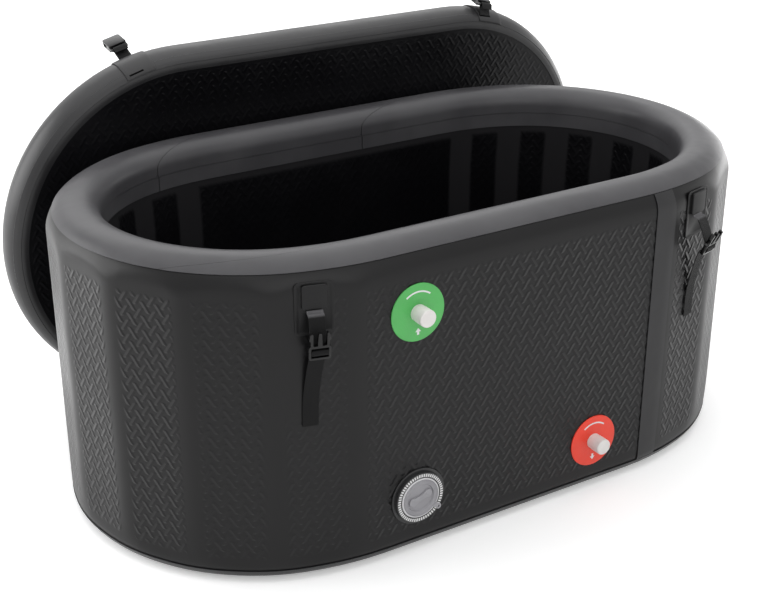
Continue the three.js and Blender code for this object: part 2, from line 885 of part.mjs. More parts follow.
function buildLidPatch(place) {
  const curve = (push) => lidEdgeArc(push).slice(1, -1);
  const band = ovalLoft(lidOval, tapeProfile(curve, lidPatchLift), true);
  const reach = lidBulge + lidPatchTop;
  const window = block(
    new THREE.Vector3(-lidPatchWidth / 2, -reach, -lidThickness),
    new THREE.Vector3(lidPatchWidth / 2, reach, lidThickness),
  );
  window.rotateZ(place.turn).translate(place.foot.x, place.foot.y, 0);
  return common(band, window);
}

// A short webbing stub, drawn as [towards the tub, out] from its slit and looped round the bar
function lidWebPath(bar, leanAngle) {
  const lean = radians(leanAngle);
  const place = (along, over) => [
    bar[0] - along * Math.sin(lean) + over * Math.cos(lean),
    bar[1] + along * Math.cos(lean) + over * Math.sin(lean),
  ];
  const turn = Array.from({ length: 5 }, (_, i) => {
    const angle = (Math.PI * i) / 4;
    return place(lidLoop * Math.sin(angle), -lidLoop * Math.cos(angle));
  });
  return [[0, 0], place(-lidWebReach / 2, -lidLoop), ...turn, place(-lidWebReturn, lidLoop)];
}

function addLidStrap(parent, strap) {
  const place = lidStrapPlace(strap);
  addPiece(parent, `lid_strap_patch_${strap.name}`, buildLidPatch(place), finishes.tape);
  const pivot = new THREE.Group();
  pivot.name = `pivot_lid_strap_${strap.name}`;
  const slit = radians(lidSlit * strap.slit);
  const lift = lidPatchTop + seatGap + webThickness / 2;
  const root = new THREE.Vector3(
    strap.along,
    (lidBulge + lift) * Math.cos(slit) - lidBulge,
    (lidHalf + lift) * Math.sin(slit),
  );
  root.applyAxisAngle(new THREE.Vector3(0, 0, 1), place.turn);
  pivot.position.set(place.foot.x, place.foot.y, 0).add(root);
  pivot.rotation.z = place.turn;
  parent.add(pivot);
  const edgeOn = new THREE.Matrix4().makeBasis(
    new THREE.Vector3(0, 0, 1),
    new THREE.Vector3(0, 1, 0),
    new THREE.Vector3(-1, 0, 0),
  );
  const lean = radians(strap.webLean);
  const bar = [
    lidLoop * Math.cos(lean) - lidWebReach * Math.sin(lean),
    lidLoop * Math.sin(lean) + lidWebReach * Math.cos(lean),
  ];
  const web = ribbon(lidWebPath(bar, strap.webLean)).applyMatrix4(edgeOn);
  addPiece(pivot, `lid_strap_webbing_${strap.name}`, web, finishes.webbing);
  const female = buildFemaleBuckle().rotateX(-radians(strap.buckleLean));
  female.translate(0, bar[1], bar[0]);
  addPiece(pivot, `lid_strap_buckle_${strap.name}`, female, finishes.buckle);
}

function buildLidPanel(valveX) {
  const solid = ovalLoft(lidOval, lidEdgeArc(0), false);
  const pocket = rod(valvePocketRadius, -slotClearance, valvePocketDepth);
  pocket.rotateX(Math.PI / 2).translate(valveX, 0, -lidHalf);
  return cut(solid, pocket);
}

// The lid stands on its long edge and leans with its face on the tub's back rim.
function placeLid(lid) {
  const lean = radians(lidLean);
  const up = new THREE.Vector2(-Math.sin(lean), Math.cos(lean));
  const face = new THREE.Vector2(-Math.cos(lean), -Math.sin(lean));
  const edge = lidTapeCurve(seatGap + tapeThickness);
  const heights = edge.map(([inset, z]) => up.y * (inset - lidOval.width / 2) + face.y * z);
  const centreZ = -Math.min(...heights);
  const rimY = tubWidth / 2 - rimOuter;
  const rimZ = wallTop - rimOuter;
  const offset = lidHalf + seatGap + rimOuter;
  const centreY = rimY - (offset - face.y * (rimZ - centreZ)) / face.x;
  lid.position.set(lidShift, centreY, centreZ);
  lid.rotation.x = Math.PI / 2 + lean;
}

const inletX = -creaseX + inletFromCrease;
const inletHeight = tubHeight - inletDrop;
const outletX = creaseX - outletFromCrease;
const valveX = -creaseX + valveFromCrease;

const part = new THREE.Group();

const stemHole = { radius: stemFit, depth: wallThickness + slotClearance };
const wall = buildWall([
  { x: inletX, height: inletHeight, ...stemHole },
  { x: outletX, height: outletHeight, ...stemHole },
  { x: valveX, height: valveHeight, radius: valvePocketRadius, depth: valvePocketDepth },
]);
addPiece(part, "tub_wall", wall, finishes.skin);
const rimTape = ovalLoft(tubOval, tapeProfile(rimTapeCurve, seatGap), true);
addPiece(part, "rim_tape", rimTape, finishes.tape);
const baseTape = ovalLoft(tubOval, tapeProfile(baseTapeCurve, seatGap), true);
addPiece(part, "base_tape", baseTape, finishes.tape);
addPiece(part, "floor_panel", buildFloor(), finishes.skin);
addPiece(part, "base_sheet", buildBaseSheet(), finishes.tape);
addPiece(part, "seam_strip_outer", seamStrip((push) => outerSkinCurve(push, seamMargin)), finishes.tape);
addPiece(part, "seam_strip_inner", seamStrip(innerSkinCurve), finishes.tape);
addFitting(part, "inlet", inletX, inletHeight, finishes.green);
addFitting(part, "outlet", outletX, outletHeight, finishes.red);
const tubValve = new THREE.Group();
tubValve.position.set(valveX, frontFace, valveHeight);
part.add(tubValve);
addValve(tubValve, "tub_valve");
tubStraps.forEach((strap) => addTubStrap(part, strap));

const lid = new THREE.Group();
placeLid(lid);
part.add(lid);
const lidValveX = lidOval.length / 2 - lidBorder - lidValveFromEnd;
addPiece(lid, "lid_panel", buildLidPanel(lidValveX), finishes.skin);
const lidTape = ovalLoft(lidOval, tapeProfile(lidTapeCurve, seatGap), true);
addPiece(lid, "lid_edge_tape", lidTape, finishes.tape);
const lidValve = new THREE.Group();
lidValve.position.set(lidValveX, 0, -lidHalf);
lidValve.rotation.x = Math.PI / 2;
lid.add(lidValve);
addValve(lidValve, "lid_valve");
lidStraps.forEach((strap) => addLidStrap(lid, strap));

export default part;
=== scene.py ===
import json
import math

import bmesh
import bpy
from mathutils import Matrix, Vector

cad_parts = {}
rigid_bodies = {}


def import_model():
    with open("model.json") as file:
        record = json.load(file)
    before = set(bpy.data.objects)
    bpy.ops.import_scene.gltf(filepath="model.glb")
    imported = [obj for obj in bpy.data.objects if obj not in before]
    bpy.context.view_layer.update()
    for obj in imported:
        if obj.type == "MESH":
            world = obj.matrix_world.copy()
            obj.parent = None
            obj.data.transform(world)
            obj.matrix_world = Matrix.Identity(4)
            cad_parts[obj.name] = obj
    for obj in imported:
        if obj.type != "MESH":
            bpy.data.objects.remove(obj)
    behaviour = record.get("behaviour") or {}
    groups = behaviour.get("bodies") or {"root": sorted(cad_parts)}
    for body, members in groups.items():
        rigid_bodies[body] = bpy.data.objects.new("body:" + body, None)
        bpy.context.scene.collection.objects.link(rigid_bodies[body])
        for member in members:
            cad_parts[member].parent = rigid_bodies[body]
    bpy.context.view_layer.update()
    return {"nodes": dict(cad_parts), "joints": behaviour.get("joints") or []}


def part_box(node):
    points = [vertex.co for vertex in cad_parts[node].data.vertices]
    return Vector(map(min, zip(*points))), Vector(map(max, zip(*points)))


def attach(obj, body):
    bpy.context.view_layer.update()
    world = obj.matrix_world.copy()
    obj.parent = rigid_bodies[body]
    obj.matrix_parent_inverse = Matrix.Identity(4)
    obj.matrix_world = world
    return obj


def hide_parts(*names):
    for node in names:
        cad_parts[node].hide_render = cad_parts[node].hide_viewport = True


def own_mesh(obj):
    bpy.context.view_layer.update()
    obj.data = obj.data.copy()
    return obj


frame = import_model()
print("frame loaded,", len(frame["nodes"]), "solids")

seatGap = 0.0003  # room between two pieces that lie on each other


# Node trees

def feed(tree, socket, value):
    if isinstance(value, bpy.types.NodeSocket):
        tree.links.new(value, socket)
    else:
        socket.default_value = value


def calc(tree, operation, *values):
    node = tree.nodes.new("ShaderNodeMath")
    node.operation = operation
    for socket, value in zip(node.inputs, values):
        feed(tree, socket, value)
    return node.outputs[0]


def ramp(tree, value, low, high, start=0.0, end=1.0, smooth=True):
    node = tree.nodes.new("ShaderNodeMapRange")
    node.interpolation_type = "SMOOTHSTEP" if smooth else "LINEAR"
    for label, number in (("Value", value), ("From Min", low), ("From Max", high), ("To Min", start), ("To Max", end)):
        feed(tree, node.inputs[label], number)
    return node.outputs["Result"]


def noise(tree, place, scale, detail=2.0):
    node = tree.nodes.new("ShaderNodeTexNoise")
    node.inputs["Scale"].default_value = scale
    node.inputs["Detail"].default_value = detail
    tree.links.new(place, node.inputs["Vector"])
    return node.outputs["Fac"]


def blendColours(tree, mask, first, second):
    node = tree.nodes.new("ShaderNodeMix")
    node.data_type = "RGBA"
    feed(tree, node.inputs["Factor"], mask)
    feed(tree, node.inputs["A"], first)
    feed(tree, node.inputs["B"], second)
    return node.outputs["Result"]


def newGroup(name, inputs, outputs):
    group = bpy.data.node_groups.new(name, "ShaderNodeTree")
    for label, value in inputs.items():
        kind = "NodeSocketVector" if value is None else "NodeSocketFloat"
        socket = group.interface.new_socket(label, in_out="INPUT", socket_type=kind)
        if value is not None:
            socket.default_value = value
    for label in outputs:
        group.interface.new_socket(label, in_out="OUTPUT", socket_type="NodeSocketFloat")
    start = group.nodes.new("NodeGroupInput")
    end = group.nodes.new("NodeGroupOutput")
    return group, start.outputs, end.inputs


def place(tree, group, **values):
    node = tree.nodes.new("ShaderNodeGroup")
    node.node_tree = group
    for label, value in values.items():
        feed(tree, node.inputs[label], value)
    return node.outputs


def makeBasketWeave():
    # in each cell a rising ridge, and a falling one half a cell on, pressed into the coated skin
    sizes = {"Vector": None, "Around": 0.0245, "Up": 0.023, "Slope": 0.62, "Ridge": 0.20, "Reach": 0.46}
    group, given, made = newGroup("basketWeave", sizes, ["Height"])
    split = group.nodes.new("ShaderNodeSeparateXYZ")
    group.links.new(given["Vector"], split.inputs[0])
    around = calc(group, "DIVIDE", split.outputs["X"], given["Around"])
    up = calc(group, "DIVIDE", split.outputs["Y"], given["Up"])
    ridges = []
    for start, lean in ((0.0, -1.0), (0.5, 1.0)):
        across, along = (calc(group, "WRAP", calc(group, "ADD", run, start), 0.5, -0.5) for run in (around, up))
        slant = calc(group, "MULTIPLY", calc(group, "MULTIPLY", along, given["Slope"]), lean)
        side = calc(group, "ABSOLUTE", calc(group, "ADD", across, slant))
        crest = ramp(group, side, given["Ridge"], 0.0, smooth=False)
        tip = ramp(group, calc(group, "ABSOLUTE", along), given["Reach"], 0.30)
        ridges.append(calc(group, "MULTIPLY", crest, tip))
    group.links.new(calc(group, "MAXIMUM", *ridges), made["Height"])
    return group


def makePvcGrain():
    # fine pebble of the coating, and slow patches where it is duller or paler
    group, given, made = newGroup("pvcGrain", {"Vector": None, "Pebble": 900.0, "Patch": 6.0}, ["Height", "Patches"])
    fine = group.nodes.new("ShaderNodeTexNoise")
    fine.inputs["Detail"].default_value = 3.0
    slow = group.nodes.new("ShaderNodeTexNoise")
    slow.inputs["Detail"].default_value = 4.0
    for node, scale in ((fine, "Pebble"), (slow, "Patch")):
        group.links.new(given["Vector"], node.inputs["Vector"])
        group.links.new(given[scale], node.inputs["Scale"])
    group.links.new(fine.outputs["Fac"], made["Height"])
    group.links.new(ramp(group, slow.outputs["Fac"], 0.35, 0.68), made["Patches"])
    return group


def makeEdgeRub():
    # edges rubbed paler, broken up by noise
    group, given, made = newGroup("edgeRub", {"Vector": None, "Scale": 240.0}, ["Rub"])
    shape = group.nodes.new("ShaderNodeNewGeometry")
    broken = group.nodes.new("ShaderNodeTexNoise")
    broken.inputs["Detail"].default_value = 4.0
    group.links.new(given["Vector"], broken.inputs["Vector"])
    group.links.new(given["Scale"], broken.inputs["Scale"])
    edge = ramp(group, shape.outputs["Pointiness"], 0.52, 0.6)
    group.links.new(calc(group, "MULTIPLY", edge, ramp(group, broken.outputs["Fac"], 0.35, 0.65)), made["Rub"])
    return group


basketWeave = makeBasketWeave()
pvcGrain = makePvcGrain()
edgeRub = makeEdgeRub()


# Materials

def newMaterial(name):
    material = bpy.data.materials.new(name)
    material.use_nodes = True
    tree = material.node_tree
    return material, tree, tree.nodes["Principled BSDF"]


def objectPlace(tree):
    return tree.nodes.new("ShaderNodeTexCoord").outputs["Object"]


def mapPlace(tree):
    node = tree.nodes.new("ShaderNodeUVMap")
    node.uv_map = "skin"
    return node.outputs["UV"]


def attribute(tree, name):
    node = tree.nodes.new("ShaderNodeAttribute")
    node.attribute_name = name
    return node.outputs["Fac"]


def bump(tree, shader, height):
    # height is in metres
    node = tree.nodes.new("ShaderNodeBump")
    node.inputs["Distance"].default_value = 1.0
    tree.links.new(height, node.inputs["Height"])
    tree.links.new(node.outputs["Normal"], shader.inputs["Normal"])


def skinMaterial(name, look):
    # coated cloth of the air panels, embossed where the attribute says so
    material, tree, shader = newMaterial(name)
    here = objectPlace(tree)
    bars = place(tree, basketWeave, Vector=mapPlace(tree))["Height"]
    grain = place(tree, pvcGrain, Vector=here)
    embossed = attribute(tree, "emboss")
    raised = calc(tree, "MULTIPLY", bars, embossed)
    pebble = calc(tree, "MULTIPLY", grain["Height"], look["pebble"])
    height = calc(tree, "MULTIPLY_ADD", raised, look["depth"], pebble)
    slack = calc(tree, "MULTIPLY", noise(tree, here, 9.0), look["slack"])
    bump(tree, shader, calc(tree, "ADD", height, slack))
    woven = blendColours(tree, grain["Patches"], look["dark"], look["light"])
    # the smooth bands take their own colour; inside the tub that colour is a painted sheen
    banded = blendColours(tree, embossed, look["band"], woven)
    worn = calc(tree, "MULTIPLY", raised, look["rub"])
    tree.links.new(blendColours(tree, worn, banded, look["rubbed"]), shader.inputs["Base Color"])
    dull = calc(tree, "MULTIPLY_ADD", grain["Patches"], 0.08, look["rough"])
    tree.links.new(calc(tree, "MULTIPLY_ADD", raised, -0.05, dull), shader.inputs["Roughness"])
    shader.inputs["Specular IOR Level"].default_value = look["gloss"]
    return material


outerLook = {
    "dark": (0.0046, 0.0044, 0.0048, 1.0),
    "light": (0.0064, 0.0061, 0.0066, 1.0),
    "rubbed": (0.011, 0.0105, 0.0115, 1.0),
    "band": (0.0055, 0.0053, 0.0057, 1.0),  # smooth bands beside the creases
    "rough": 0.32,
    "gloss": 0.24,
    "depth": 0.0010,
    "pebble": 0.00003,
    "slack": 0.0010,
    "rub": 0.35,
}
outerSkin = skinMaterial("outerSkin", outerLook)
# the inside is coloured darker than the outside: painted shade, for the dim inside of the tub
innerLook = {
    "dark": (0.0026, 0.0025, 0.0032, 1.0),
    "light": (0.0034, 0.0033, 0.0041, 1.0),
    "rubbed": (0.005, 0.005, 0.006, 1.0),
    # painted sheen: the smooth bands inside are coloured far paler than the skin beside them
    "band": (0.018, 0.0175, 0.019, 1.0),
    "gloss": 0.18,
    "depth": 0.0005,
}
innerSkin = skinMaterial("innerSkin", {**outerLook, **innerLook})


def tapeMaterial(name, look):
    # smooth coated tape with a soft sheen, a few slow ripples and butted joints
    material, tree, shader = newMaterial(name)
    here = objectPlace(tree)
    grain = place(tree, pvcGrain, Vector=here, Pebble=1300.0, Patch=9.0)
    ripple = calc(tree, "MULTIPLY", noise(tree, here, 14.0), look["ripple"])
    height = calc(tree, "MULTIPLY_ADD", grain["Height"], look["pebble"], ripple)
    around = tree.nodes.new("ShaderNodeSeparateXYZ")
    tree.links.new(mapPlace(tree), around.inputs[0])
    joint = None
    for spot in look["joints"]:
        off = calc(tree, "ABSOLUTE", calc(tree, "SUBTRACT", around.outputs["X"], spot))
        line = ramp(tree, off, look["jointWidth"], look["jointWidth"] * 0.4)
        joint = line if joint is None else calc(tree, "MAXIMUM", joint, line)
    colour = blendColours(tree, grain["Patches"], look["dark"], look["light"])
    if joint is not None:
        height = calc(tree, "MULTIPLY_ADD", joint, -0.0006, height)
        colour = blendColours(tree, joint, colour, look["shadow"])
    bump(tree, shader, height)
    tree.links.new(colour, shader.inputs["Base Color"])
    tree.links.new(calc(tree, "MULTIPLY_ADD", grain["Patches"], 0.07, look["rough"]), shader.inputs["Roughness"])
    shader.inputs["Specular IOR Level"].default_value = look["gloss"]
    return material


tapeLook = {
    "dark": (0.0095, 0.0093, 0.0105, 1.0),
    "light": (0.013, 0.0128, 0.0140, 1.0),
    "shadow": (0.003, 0.003, 0.003, 1.0),
    "rough": 0.36,
    "gloss": 0.36,
    "ripple": 0.0016,
    "pebble": 0.00002,
    "joints": [],
    "jointWidth": 0.0011,
}
plainTape = tapeMaterial("plainTape", tapeLook)


def mouldedMaterial(name, look):
    # injection-moulded plastic: faint flow marks, fine texture, edges rubbed
    material, tree, shader = newMaterial(name)
    here = objectPlace(tree)
    grain = place(tree, pvcGrain, Vector=here, Pebble=look["grain"], Patch=40.0)
    rub = place(tree, edgeRub, Vector=here)["Rub"]
    bump(tree, shader, calc(tree, "MULTIPLY", grain["Height"], look["relief"]))
    flow = blendColours(tree, grain["Patches"], look["dark"], look["light"])
    tree.links.new(blendColours(tree, calc(tree, "MULTIPLY", rub, look["rub"]), flow, look["rubbed"]), shader.inputs["Base Color"])
    tree.links.new(calc(tree, "MULTIPLY_ADD", grain["Patches"], 0.08, look["rough"]), shader.inputs["Roughness"])
    shader.inputs["Specular IOR Level"].default_value = look["gloss"]
    return material


def moulded(name, colour, rough=0.38, grain=1600.0, relief=0.00002, rub=0.5, gloss=0.5):
    dark = tuple(0.93 * c for c in colour)
    rubbed = tuple(0.8 * c + 0.06 for c in colour)
    look = {"dark": (*dark, 1.0), "light": (*colour, 1.0), "rubbed": (*rubbed, 1.0)}
    return mouldedMaterial(name, {**look, "rough": rough, "grain": grain, "relief": relief, "rub": rub, "gloss": gloss})


bucklePlastic = moulded("bucklePlastic", (0.0024, 0.0024, 0.0026), rough=0.18, rub=0.25, gloss=0.34)
greenPlastic = moulded("greenPlastic", (0.082, 0.445, 0.102), rough=0.42, rub=0.3)
redPlastic = moulded("redPlastic", (0.87, 0.050, 0.022), rough=0.42, rub=0.3)
whitePlastic = moulded("whitePlastic", (0.80, 0.775, 0.755), rough=0.33, rub=0.0)
blackPlastic = moulded("blackPlastic", (0.015, 0.015, 0.016), rough=0.36, rub=0.3)
greyPlastic = moulded("greyPlastic", (0.31, 0.305, 0.325), rough=0.38, rub=0.4)
paleRing = moulded("paleRing", (0.62, 0.615, 0.63), rough=0.34, rub=0.0)
markInk = moulded("markInk", (0.78, 0.78, 0.78), rough=0.5, rub=0.0)
rubber = moulded("rubber", (0.017, 0.017, 0.017), rough=0.62, grain=700.0, rub=0.1)


def steelMaterial():
    material, tree, shader = newMaterial("springSteel")
    shader.inputs["Metallic"].default_value = 1.0
    drawn = noise(tree, objectPlace(tree), 900.0, 3.0)
    tree.links.new(blendColours(tree, drawn, (0.46, 0.46, 0.47, 1.0), (0.62, 0.62, 0.63, 1.0)), shader.inputs["Base Color"])
    tree.links.new(ramp(tree, drawn, 0.2, 0.8, 0.22, 0.36), shader.inputs["Roughness"])
    return material


springSteel = steelMaterial()


def webbingMaterial(name, look):
    # flat nylon webbing: slanting ribs either side of a middle line, with a painted highlight where it folds out of its
    # slot
    material, tree, shader = newMaterial(name)
    split = tree.nodes.new("ShaderNodeSeparateXYZ")
    tree.links.new(mapPlace(tree), split.inputs[0])
    across = split.outputs["X"]
    along = split.outputs["Y"]
    slant = calc(tree, "MULTIPLY_ADD", calc(tree, "ABSOLUTE", across), look["slant"], along)
    rib = calc(tree, "PINGPONG", calc(tree, "DIVIDE", slant, look["pitch"]), 0.5)
    strand = calc(tree, "PINGPONG", calc(tree, "DIVIDE", across, look["strand"]), 0.5)
    woven = calc(tree, "MULTIPLY", ramp(tree, rib, 0.0, 0.4), ramp(tree, strand, 0.0, 0.35))
    fuzz = noise(tree, objectPlace(tree), 2600.0, 2.0)
    height = calc(tree, "MULTIPLY_ADD", fuzz, 0.00008, calc(tree, "MULTIPLY", woven, look["relief"]))
    bump(tree, shader, height)
    ribs = blendColours(tree, woven, look["dark"], look["light"])
    # painted highlight: the first stretch out of the slot is coloured pale, for the overhead light that the fold
    # catches
    foldHighlight = ramp(tree, along, look["foldHighlightEnd"], look["foldHighlightEnd"] * 0.6)
    tree.links.new(blendColours(tree, foldHighlight, ribs, look["foldHighlight"]), shader.inputs["Base Color"])
    tree.links.new(ramp(tree, fuzz, 0.3, 0.7, 0.52, 0.66), shader.inputs["Roughness"])
    shader.inputs["Specular IOR Level"].default_value = look["gloss"]
    return material


webbingLook = {
    "pitch": 0.0022,
    "strand": 0.0016,
    "slant": 0.8,
    "relief": 0.00035,
    "dark": (0.0014, 0.0014, 0.0016, 1.0),
    "light": (0.0040, 0.0040, 0.0044, 1.0),
    # colour of the painted highlight on the fold
    "foldHighlight": (0.13, 0.128, 0.134, 1.0),
    "foldHighlightEnd": 0.014,
    "gloss": 0.17,
}
webbing = webbingMaterial("webbing", webbingLook)
# the lid's webbing has no painted highlight on its fold
lidWebbing = webbingMaterial("lidWebbing", {**webbingLook, "foldHighlight": webbingLook["light"]})
print("materials made")


# Mesh helpers

def finishPiece(name, bm, body, material, nodes=(), sharp=38):
    mesh = bpy.data.meshes.new(name)
    bmesh.ops.recalc_face_normals(bm, faces=bm.faces)
    for face in bm.faces:
        face.smooth = True
    bm.to_mesh(mesh)
    bm.free()
    mesh.set_sharp_from_angle(angle=math.radians(sharp))
    piece = bpy.data.objects.new(name, mesh)
    bpy.context.scene.collection.objects.link(piece)
    for each in material if isinstance(material, list) else [material]:
        mesh.materials.append(each)
    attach(piece, body)
    if nodes:
        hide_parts(*nodes)
    return piece


def newSweep():
    bm = bmesh.new()
    layers = {"order": bm.verts.layers.int.new("order"), "emboss": bm.verts.layers.float.new("emboss")}
    layers["map"] = bm.verts.layers.float_vector.new("map")
    layers["uv"] = bm.loops.layers.uv.new("skin")
    return bm, layers


def setStation(verts, layers, section):
    for vert in verts:
        point, spot, mask = section[vert[layers["order"]]]
        vert.co = point
        vert[layers["map"]] = spot
        vert[layers["emboss"]] = mask


def sweep(sections, closed, ring=True):
    # sections are lists of (point, (u, v, length round), emboss); each is drawn out of the one before it
    bm, layers = newSweep()
    verts = [bm.verts.new(point) for point, spot, mask in sections[0]]
    for i, vert in enumerate(verts):
        vert[layers["order"]] = i
    setStation(verts, layers, sections[0])
    pairs = zip(verts, verts[1:] + verts[:1]) if ring else zip(verts, verts[1:])
    first = [bm.edges.new(pair) for pair in pairs]
    edges = first
    for section in sections[1:]:
        grown = bmesh.ops.extrude_edge_only(bm, edges=edges)["geom"]
        edges = [g for g in grown if isinstance(g, bmesh.types.BMEdge)]
        setStation([g for g in grown if isinstance(g, bmesh.types.BMVert)], layers, section)
    if closed:
        bmesh.ops.bridge_loops(bm, edges=first + edges)
    return bm, layers, first, edges


def mapFaces(bm, layers):
    # the maps of the vertices, carried past the place where the loop closes
    for face in bm.faces:
        spots = [loop.vert[layers["map"]].copy() for loop in face.loops]
        furthest = max(spot.x for spot in spots)
        for loop, spot in zip(face.loops, spots):
            if spot.z and furthest - spot.x > spot.z / 2:
                spot.x += spot.z
            loop[layers["uv"]].uv = spot.xy
    bm.verts.layers.int.remove(layers["order"])


def arc(centre, radius, start, end, steps):
    # points of [inset, height]; angles from straight out, turning upwards
    turns = [math.radians(start + (end - start) * i / steps) for i in range(steps + 1)]
    return [(centre[0] - radius * math.cos(t), centre[1] + radius * math.sin(t)) for t in turns]


def straight(start, end, parts):
    return [tuple(a + (b - a) * i / parts for a, b in zip(start, end)) for i in range(parts + 1)]


def turned(profile, steps=64, rounding=0.0, corners=()):
    # spun about Y from (radius, y) points; the named corners are rounded first
    bm = bmesh.new()
    verts = [bm.verts.new((radius, y, 0)) for radius, y in profile]
    ring = profile[0][0] > 0
    pairs = zip(verts, verts[1:] + verts[:1]) if ring else zip(verts, verts[1:])
    for pair in pairs:
        bm.edges.new(pair)
    if rounding:
        bmesh.ops.bevel(bm, geom=[verts[i] for i in corners], offset=rounding, offset_type="OFFSET", segments=4,
                        profile=0.5, affect="VERTICES", material=-1)
    bmesh.ops.spin(bm, geom=bm.verts[:] + bm.edges[:], cent=(0, 0, 0), axis=(0, 1, 0), dvec=(0, 0, 0),
                   angle=2 * math.pi, steps=steps, use_merge=True)
    bmesh.ops.remove_doubles(bm, verts=bm.verts, dist=1e-6)
    return bm


def bevelSharp(bm, offset, angle=30, segments=2):
    edges = [e for e in bm.edges if e.is_manifold and e.calc_face_angle() > math.radians(angle)]
    bmesh.ops.bevel(bm, geom=edges, offset=offset, offset_type="OFFSET", segments=segments, profile=0.5,
                    affect="EDGES", clamp_overlap=True, material=-1)


def moveBy(bm, matrix):
    bmesh.ops.transform(bm, matrix=matrix, verts=bm.verts)


def joinMeshes(bm, other):
    mesh = bpy.data.meshes.new("joined")
    other.to_mesh(mesh)
    other.free()
    bm.from_mesh(mesh)
    bpy.data.meshes.remove(mesh)


# The oval outlines of the tub and the lid

tubLow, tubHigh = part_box("tub_wall")
tubOval = {
    "length": 1.255,  # over the end creases, before their rounding
    "width": tubHigh.y - tubLow.y,
    "facets": 8,
    "firstCrease": math.radians(4),
    "creaseRun": 0.014,
    "creaseSteps": 4,
    "stretch": 0.007,  # of the length, where the creases have melted away
}
lidOval = {
    "length": 1.263,
    "width": 0.682,
    "facets": 54,
    "firstCrease": 0.0,
    "creaseRun": 0.0,
    "creaseSteps": 0,
    "stretch": 0.0,
}
smoothBand = {"outside": 0.014, "inside": 0.021, "fade": 0.006}  # half width beside each crease of the wall


def endOf(oval):
    first = oval["firstCrease"]
    radius = oval["width"] / 2 / math.cos(first)
    return first, radius, (math.pi - 2 * first) / oval["facets"], oval["length"] / 2 - radius


def insetCorners(oval, inset):
    first, radius, step, side = endOf(oval)
    corners = []
    for end in (1, -1):
        for i in range(oval["facets"] + 1):
            turn = first + i * step
            corners.append(Vector((end * (side + radius * math.sin(turn)), -end * radius * math.cos(turn))))
    moved = []
    for i, corner in enumerate(corners):
        before = (corner - corners[i - 1]).normalized()
        after = (corners[(i + 1) % len(corners)] - corner).normalized()
        inward = Vector((-before.y - after.y, before.x + after.x))
        moved.append(corner + inward * inset / (1 + before.dot(after)))
    return moved


def roundedPoint(corners, i, off, run):
    # the point so far past corner i, on the curve that rounds the corner over a run to each side
    corner = corners[i]
    back = (corners[i - 1] - corner).normalized()
    ahead = (corners[(i + 1) % len(corners)] - corner).normalized()
    if abs(off) >= run:
        return corner + (ahead if off > 0 else back) * abs(off)
    t = (1 + off / run) / 2
    return corner + (back * (1 - t) ** 2 + ahead * t * t) * run


def creaseRun(oval, corners, ease):
    # from the tight rounding of a crease to one that takes up the whole facet
    tight = oval["creaseRun"]
    return tight + ease * (0.98 * (corners[1] - corners[0]).length / 2 - tight)


def ovalLoop(oval, inset, cuts, band, ease):
    # points of one outline: (point, distance from the nearest crease), from the front right crease round
    corners = insetCorners(oval, inset)
    outermost = insetCorners(oval, 0.0)
    run = creaseRun(oval, corners, ease)
    tight, steps = oval["creaseRun"], oval["creaseSteps"]
    loop = []
    for i, corner in enumerate(corners):
        after = (i + 1) % len(corners)
        length = (corners[after] - corner).length
        for k in range(steps + 1):
            loop.append((roundedPoint(corners, i, tight * (2 * k / max(steps, 1) - 1), run), 0.0))
        if cuts:
            count = max(2, round((outermost[after] - outermost[i]).length / cuts))
            near = [tight + band["fade"], band["inside"], band["inside"] + band["fade"]]
            inner = [near[-1] + (length - 2 * near[-1]) * k / count for k in range(1, count)]
            for d in near + inner + [length - n for n in reversed(near)]:
                spot = (i, d) if d < length / 2 else (after, d - length)
                loop.append((roundedPoint(corners, *spot, run), min(d, length - d)))
    for point, off in loop:
        point.x *= 1 + oval["stretch"] * ease
    return loop


def ovalSections(oval, profile, cuts=0.0, half=0.0, easing=None):
    # profile is a list of (inset, height, emboss share); half is the smooth band's half width there;
    # easing says how far the creases have melted away at an inset and height
    sections = []
    up = 0.0
    last = None
    for inset, height, share in profile:
        loop = ovalLoop(oval, inset, cuts, smoothBand, easing(inset, height) if easing else 0.0)
        if last:
            up += math.dist(last, (inset, height))
        last = (inset, height)
        steps = [(point - loop[i - 1][0]).length for i, (point, off) in enumerate(loop)]
        length = sum(steps)
        along = loop[0][0].x - steps[0]
        section = []
        for (point, off), step in zip(loop, steps):
            along += step
            mask = share * min(1.0, max(0.0, (off - half) / smoothBand["fade"]))
            section.append(((point.x, point.y, height), (along, up, length), mask))
        sections.append(section)
    return sections


# Tub wall

wall = {
    "top": tubHigh.z,
    "bottom": tubLow.z,
    "thickness": 0.085,
    "rimOuter": 0.050,
    "rimInner": 0.029,
    "foot": 0.030,
    "smoothTop": 0.004,  # plain margin under the rim's rounding
    "smoothFoot": 0.012,
    "spacing": 0.03,
    "easeOuter": (0.052, 0.018),  # depths under the top between which the creases come in
    "easeInner": (0.150, 0.085),
    "easeFoot": (0.070, 0.012),
}
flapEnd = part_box("rim_tape")[0].z
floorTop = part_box("floor_panel")[1].z
frontFace = tubLow.y


def rimEase(inset, height):
    # the facets run out into a smooth oval round the rim, down its flap inside and at the foot
    depth = wall["top"] - height
    outside = inset < wall["thickness"] * 0.75
    start, end = wall["easeOuter"] if outside else wall["easeInner"]
    t = min(1.0, max(0.0, (start - depth) / (start - end)))
    if outside:
        start, end = wall["easeFoot"]
        t = max(t, min(1.0, max(0.0, (start - height) / (start - end))))
    return t * t * (3 - 2 * t)


def upright(inset, low, high, lowMargin, highMargin):
    # heights up one straight face of the wall, with the embossing faded at both ends
    marks = [low, low + lowMargin, low + lowMargin + 0.008]
    ends = [high - highMargin - 0.008, high - highMargin, high]
    count = round((ends[0] - marks[-1]) / wall["spacing"])
    middle = [marks[-1] + (ends[0] - marks[-1]) * i / count for i in range(1, count)]
    shares = [0, 0, 1] + [1] * len(middle) + [1, 0, 0]
    return [(inset, z, share) for z, share in zip(marks + middle + ends, shares)]


